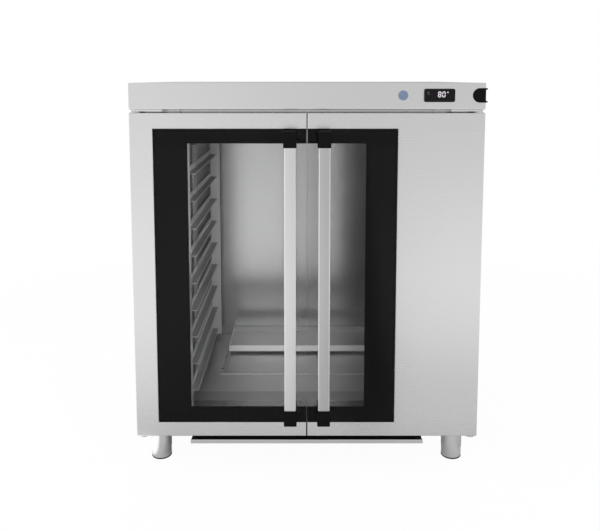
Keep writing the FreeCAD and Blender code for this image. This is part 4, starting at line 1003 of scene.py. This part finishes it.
low, high = millimetres("levelling_feet")
near_x, near_y = low.x + FOOT_RADIUS, low.y + FOOT_RADIUS
far_x, far_y = high.x - FOOT_RADIUS, high.y - FOOT_RADIUS
feet = [(x, y) for x in (near_x, far_x) for y in (near_y, far_y)]
shoulder = RING_HEIGHT - RING_BEVEL
outside = FOOT_RADIUS + RING_PROUD
ring_section = [(FOOT_RADIUS - RING_BITE, shoulder)]
for degrees in ROUND_ANGLES:
    angle = math.radians(degrees)
    radius = FOOT_RADIUS - FOOT_ROUND * (1 - math.cos(angle)) - RING_BITE
    ring_section.append((radius, FOOT_ROUND * (1 - math.sin(angle))))
ring_section += [(FOOT_RADIUS - FOOT_ROUND, 0.0), (FOOT_RADIUS - 0.5, 0.0), (outside, 0.9)]
ring_section += [(outside, shoulder), (FOOT_RADIUS + 0.1, RING_HEIGHT)]
rings("foot_soles", ring_section, feet, RING_STEPS, finishes["seal_rubber"], "seal_rubber")

# %% [markdown]
# ## Studio
# A steel cabinet is a mirror, so the studio matters more than the lamps. The world is pure white to
# the camera. In reflections and through glass it is a pale grey, which gets darker to the right and
# to the back and so draws the roundness of the legs. That isn't the white that the camera sees: it
# is fitted to the front view. Plastics see a dimmer world plus four soft lamps, so that they keep
# the colours written above. The floor glows white towards the camera but still takes the shadow.

# %% World
WORLD_LEFT = 0.93
WORLD_RIGHT = 0.725
WORLD_BEHIND_DROP = 0.2
WORLD_FILL = 0.5
SIDE_TURN = (-0.4, 0.15)
BACK_TURN = (0.3, 0.9)


def ray_is(wire, *kinds):
    """1 for rays of any of these kinds, else 0."""
    found = 0.0
    for kind in kinds:
        is_kind = wire.node("ShaderNodeLightPath", output=f"Is {kind} Ray")
        found = wire.math("MAXIMUM", found, is_kind)
    return found


world = bpy.data.worlds.new("studio")
world.use_nodes = True
scene.world = world
tree = world.node_tree
tree.nodes.clear()
wire = Wire(tree)
way = wire.node("ShaderNodeTexCoord", output="Generated")
side = soft_step(wire, axis(wire, way, 0), *SIDE_TURN, WORLD_LEFT, WORLD_RIGHT)
behind = soft_step(wire, axis(wire, way, 1), *BACK_TURN, 0.0, WORLD_BEHIND_DROP)
level = WORLD_FILL + (side - behind - WORLD_FILL) * ray_is(wire, "Glossy", "Transmission")
level = level + (1.0 - level) * ray_is(wire, "Camera")
backdrop = wire.node("ShaderNodeBackground", sockets={"Color": level, "Strength": 1.0})
tree.links.new(backdrop.socket, tree.nodes.new("ShaderNodeOutputWorld").inputs["Surface"])
print("world: white to the camera,", WORLD_FILL, "on plastics")

# %% [markdown]
# ### What the steel sees of the floor
# The lower half of the cabinet mirrors the floor in front of it, so that floor is painted for the
# mirror. It is dark under the case and near it, and grows white over more than a metre, which
# gives the doors their long fade. It is lighter on the left. A wedge that runs off to the right of
# the camera is shaded, as by a black flag, and softens the right edge of the picture in the back
# wall. All these are smooth steps on a floor point's x, its y, its distance from the case, and its
# slant, which is its direction from the mirrored camera. They are fitted to the front view, so from
# other sides the steel mirrors a floor that no plain studio has. Glass shows the painted floor too,
# and the wedge can be seen through an open door.

# %% Floor as steel sees it
FOOTPRINT_X = 0.43
FOOTPRINT_Y = 0.31
MIRRORED_NEAR = 0.37
BESIDE_Y = (-0.48, -0.4)
LEFT_X = (-0.43, -0.405)
LEFT_REAR_Y = (-0.2, -0.15)
LEFT_REAR_SHARE = 0.25
LEFT_RISE = 1.15
RIGHT_X = (0.42, 0.47)
RIGHT_DROP = 0.19
UNDER_X = (0.33, 0.39)
UNDER_Y = (-0.33, -0.27)
SHADE_X = (-0.36, 0.36)
SHADE_LEVELS = (0.05, 0.25)


def outside_by(wire, value, half):
    return wire.math("MAXIMUM", wire.math("ABSOLUTE", value) - half, 0.0)


def from_case(wire, x, y):
    """Distance of a floor point from the case's footprint."""
    out_x = outside_by(wire, x, FOOTPRINT_X)
    out_y = outside_by(wire, y, FOOTPRINT_Y)
    return wire.math("POWER", out_x * out_x + out_y * out_y, 0.5)


def close_to_case(wire, x, y):
    """Level under the case and beside it, which the legs mirror."""
    beside = soft_step(wire, y, *BESIDE_Y, 0.0, 1.0)
    left = beside * soft_step(wire, y, *LEFT_REAR_Y, 1.0, LEFT_REAR_SHARE)
    left = left * soft_step(wire, x, *LEFT_X, LEFT_RISE, 0.0)
    right = beside * soft_step(wire, x, *RIGHT_X, 0.0, RIGHT_DROP)
    under = soft_step(wire, wire.math("ABSOLUTE", x), *UNDER_X, 1.0, 0.0)
    under = under * soft_step(wire, y, *UNDER_Y, 0.0, 1.0)
    shade = soft_step(wire, x, *SHADE_X, *SHADE_LEVELS)
    near = MIRRORED_NEAR + left - right
    return near + (shade - near) * under


# %% Floor further away
MIRRORED_CAMERA_Y = 2.5
MIRRORED_WHITE = 1.0
SHORT_FADE, SHORT_SHARE = (0.05, 0.3), 0.38
LONG_FADE, LONG_SHARE = (0.1, 1.35), 0.62
FAR_FADE = (2.2, 4.5)
FAR_SLANT = (-0.2, -0.05)
FAR_DROPS = (0.05, 0.14)
FLAG_SHADE = 0.45
FLAG_STARTS = (0.02, 0.06)
FLAG_ENDS = (0.075, 0.095)
LIFT_SLANT = (-0.15, -0.09)
LIFT_FADE = (0.2, 0.5)
LIFT_NEAR = 0.36
LIFT_FALL = 0.3


def mirrored_floor(wire, x, y, away):
    """Level of the whole floor in reflections."""
    near = close_to_case(wire, x, y)
    slant = wire.math("DIVIDE", x - CAMERA_PLACE.x, MIRRORED_CAMERA_Y - y)
    ahead = soft_step(wire, away, *SHORT_FADE, 0.0, SHORT_SHARE)
    ahead = ahead + soft_step(wire, away, *LONG_FADE, 0.0, LONG_SHARE)
    far = soft_step(wire, away, *FAR_FADE, 0.0, 1.0)
    far = far * soft_step(wire, slant, *FAR_SLANT, *FAR_DROPS)
    flag = soft_step(wire, slant, *FLAG_STARTS, 0.0, FLAG_SHADE)
    flag = flag * soft_step(wire, slant, *FLAG_ENDS, 1.0, 0.0) * (y < 0.0)
    lift = soft_step(wire, slant, *LIFT_SLANT, 1.0, 0.0)
    lift = lift * soft_step(wire, away, *LIFT_FADE, 0.0, 1.0) * (LIFT_NEAR - LIFT_FALL * ahead)
    return near + (MIRRORED_WHITE - flag - near) * ahead - far + lift


# %% Floor
FLOOR_HALF = 9.0
SEEN_FADE = (0.9, 1.9)
SEEN_SHARE = 0.96
MIRRORED_FADE = (0.05, 0.6)
MIRRORED_SHARE = 0.54


def white_floor(wire):
    grain = blend(wire, noise(wire, 3.0, 2.0, 0.5), gray(0.9), gray(0.92))
    paint = wire.node("ShaderNodeBsdfDiffuse", sockets={"Color": grain})
    spot = place(wire)
    x, y = axis(wire, spot, 0), axis(wire, spot, 1)
    away = from_case(wire, x, y)
    seen = ray_is(wire, "Camera")
    mirrored = ray_is(wire, "Glossy", "Transmission") * (1.0 - seen)
    level = seen + (1.0 - seen) * mirrored_floor(wire, x, y, away)
    glow = wire.node("ShaderNodeEmission", sockets={"Color": level, "Strength": 1.0})
    seen_share = soft_step(wire, away, *SEEN_FADE, SEEN_SHARE, 1.0)
    mirrored_share = soft_step(wire, away, *MIRRORED_FADE, MIRRORED_SHARE, 1.0)
    share = seen * seen_share + mirrored * mirrored_share
    return wire.node("ShaderNodeMixShader", sockets={0: share, 1: paint, 2: glow})


add_finishes(white_floor)
mesh = bpy.data.meshes.new("studio_floor")
square = ((-1, -1), (1, -1), (1, 1), (-1, 1))
corners = [(x * FLOOR_HALF, y * FLOOR_HALF, 0.0) for x, y in square]
mesh.from_pydata(corners, [], [(0, 1, 2, 3)])
mesh.materials.append(finishes["white_floor"])
floor = bpy.data.objects.new("studio_floor", mesh)
scene.collection.objects.link(floor)
print("floor", 2 * FLOOR_HALF, "metres wide")

# %% Lamps
LAMPS = (
    ("key_lamp", (-1.7, -2.3, 2.6), 36.0, 2.2),
    ("left_lamp", (-2.5, -0.8, 0.8), 16.0, 1.5),
    ("fill_lamp", (1.5, -2.3, 1.4), 25.0, 1.2),
    ("top_lamp", (0.0, 0.6, 3.0), 30.0, 2.6),
)
AIM = Vector((0.0, 0.0, 0.5))
for name, spot, power, size in LAMPS:
    light = bpy.data.lights.new(name, "AREA")
    light.energy = power
    light.size = size
    lamp = bpy.data.objects.new(name, light)
    lamp.location = spot
    lamp.rotation_euler = (AIM - Vector(spot)).to_track_quat("-Z", "Y").to_euler()
    lamp.visible_glossy = False
    scene.collection.objects.link(lamp)
print(len(LAMPS), "soft lamps")
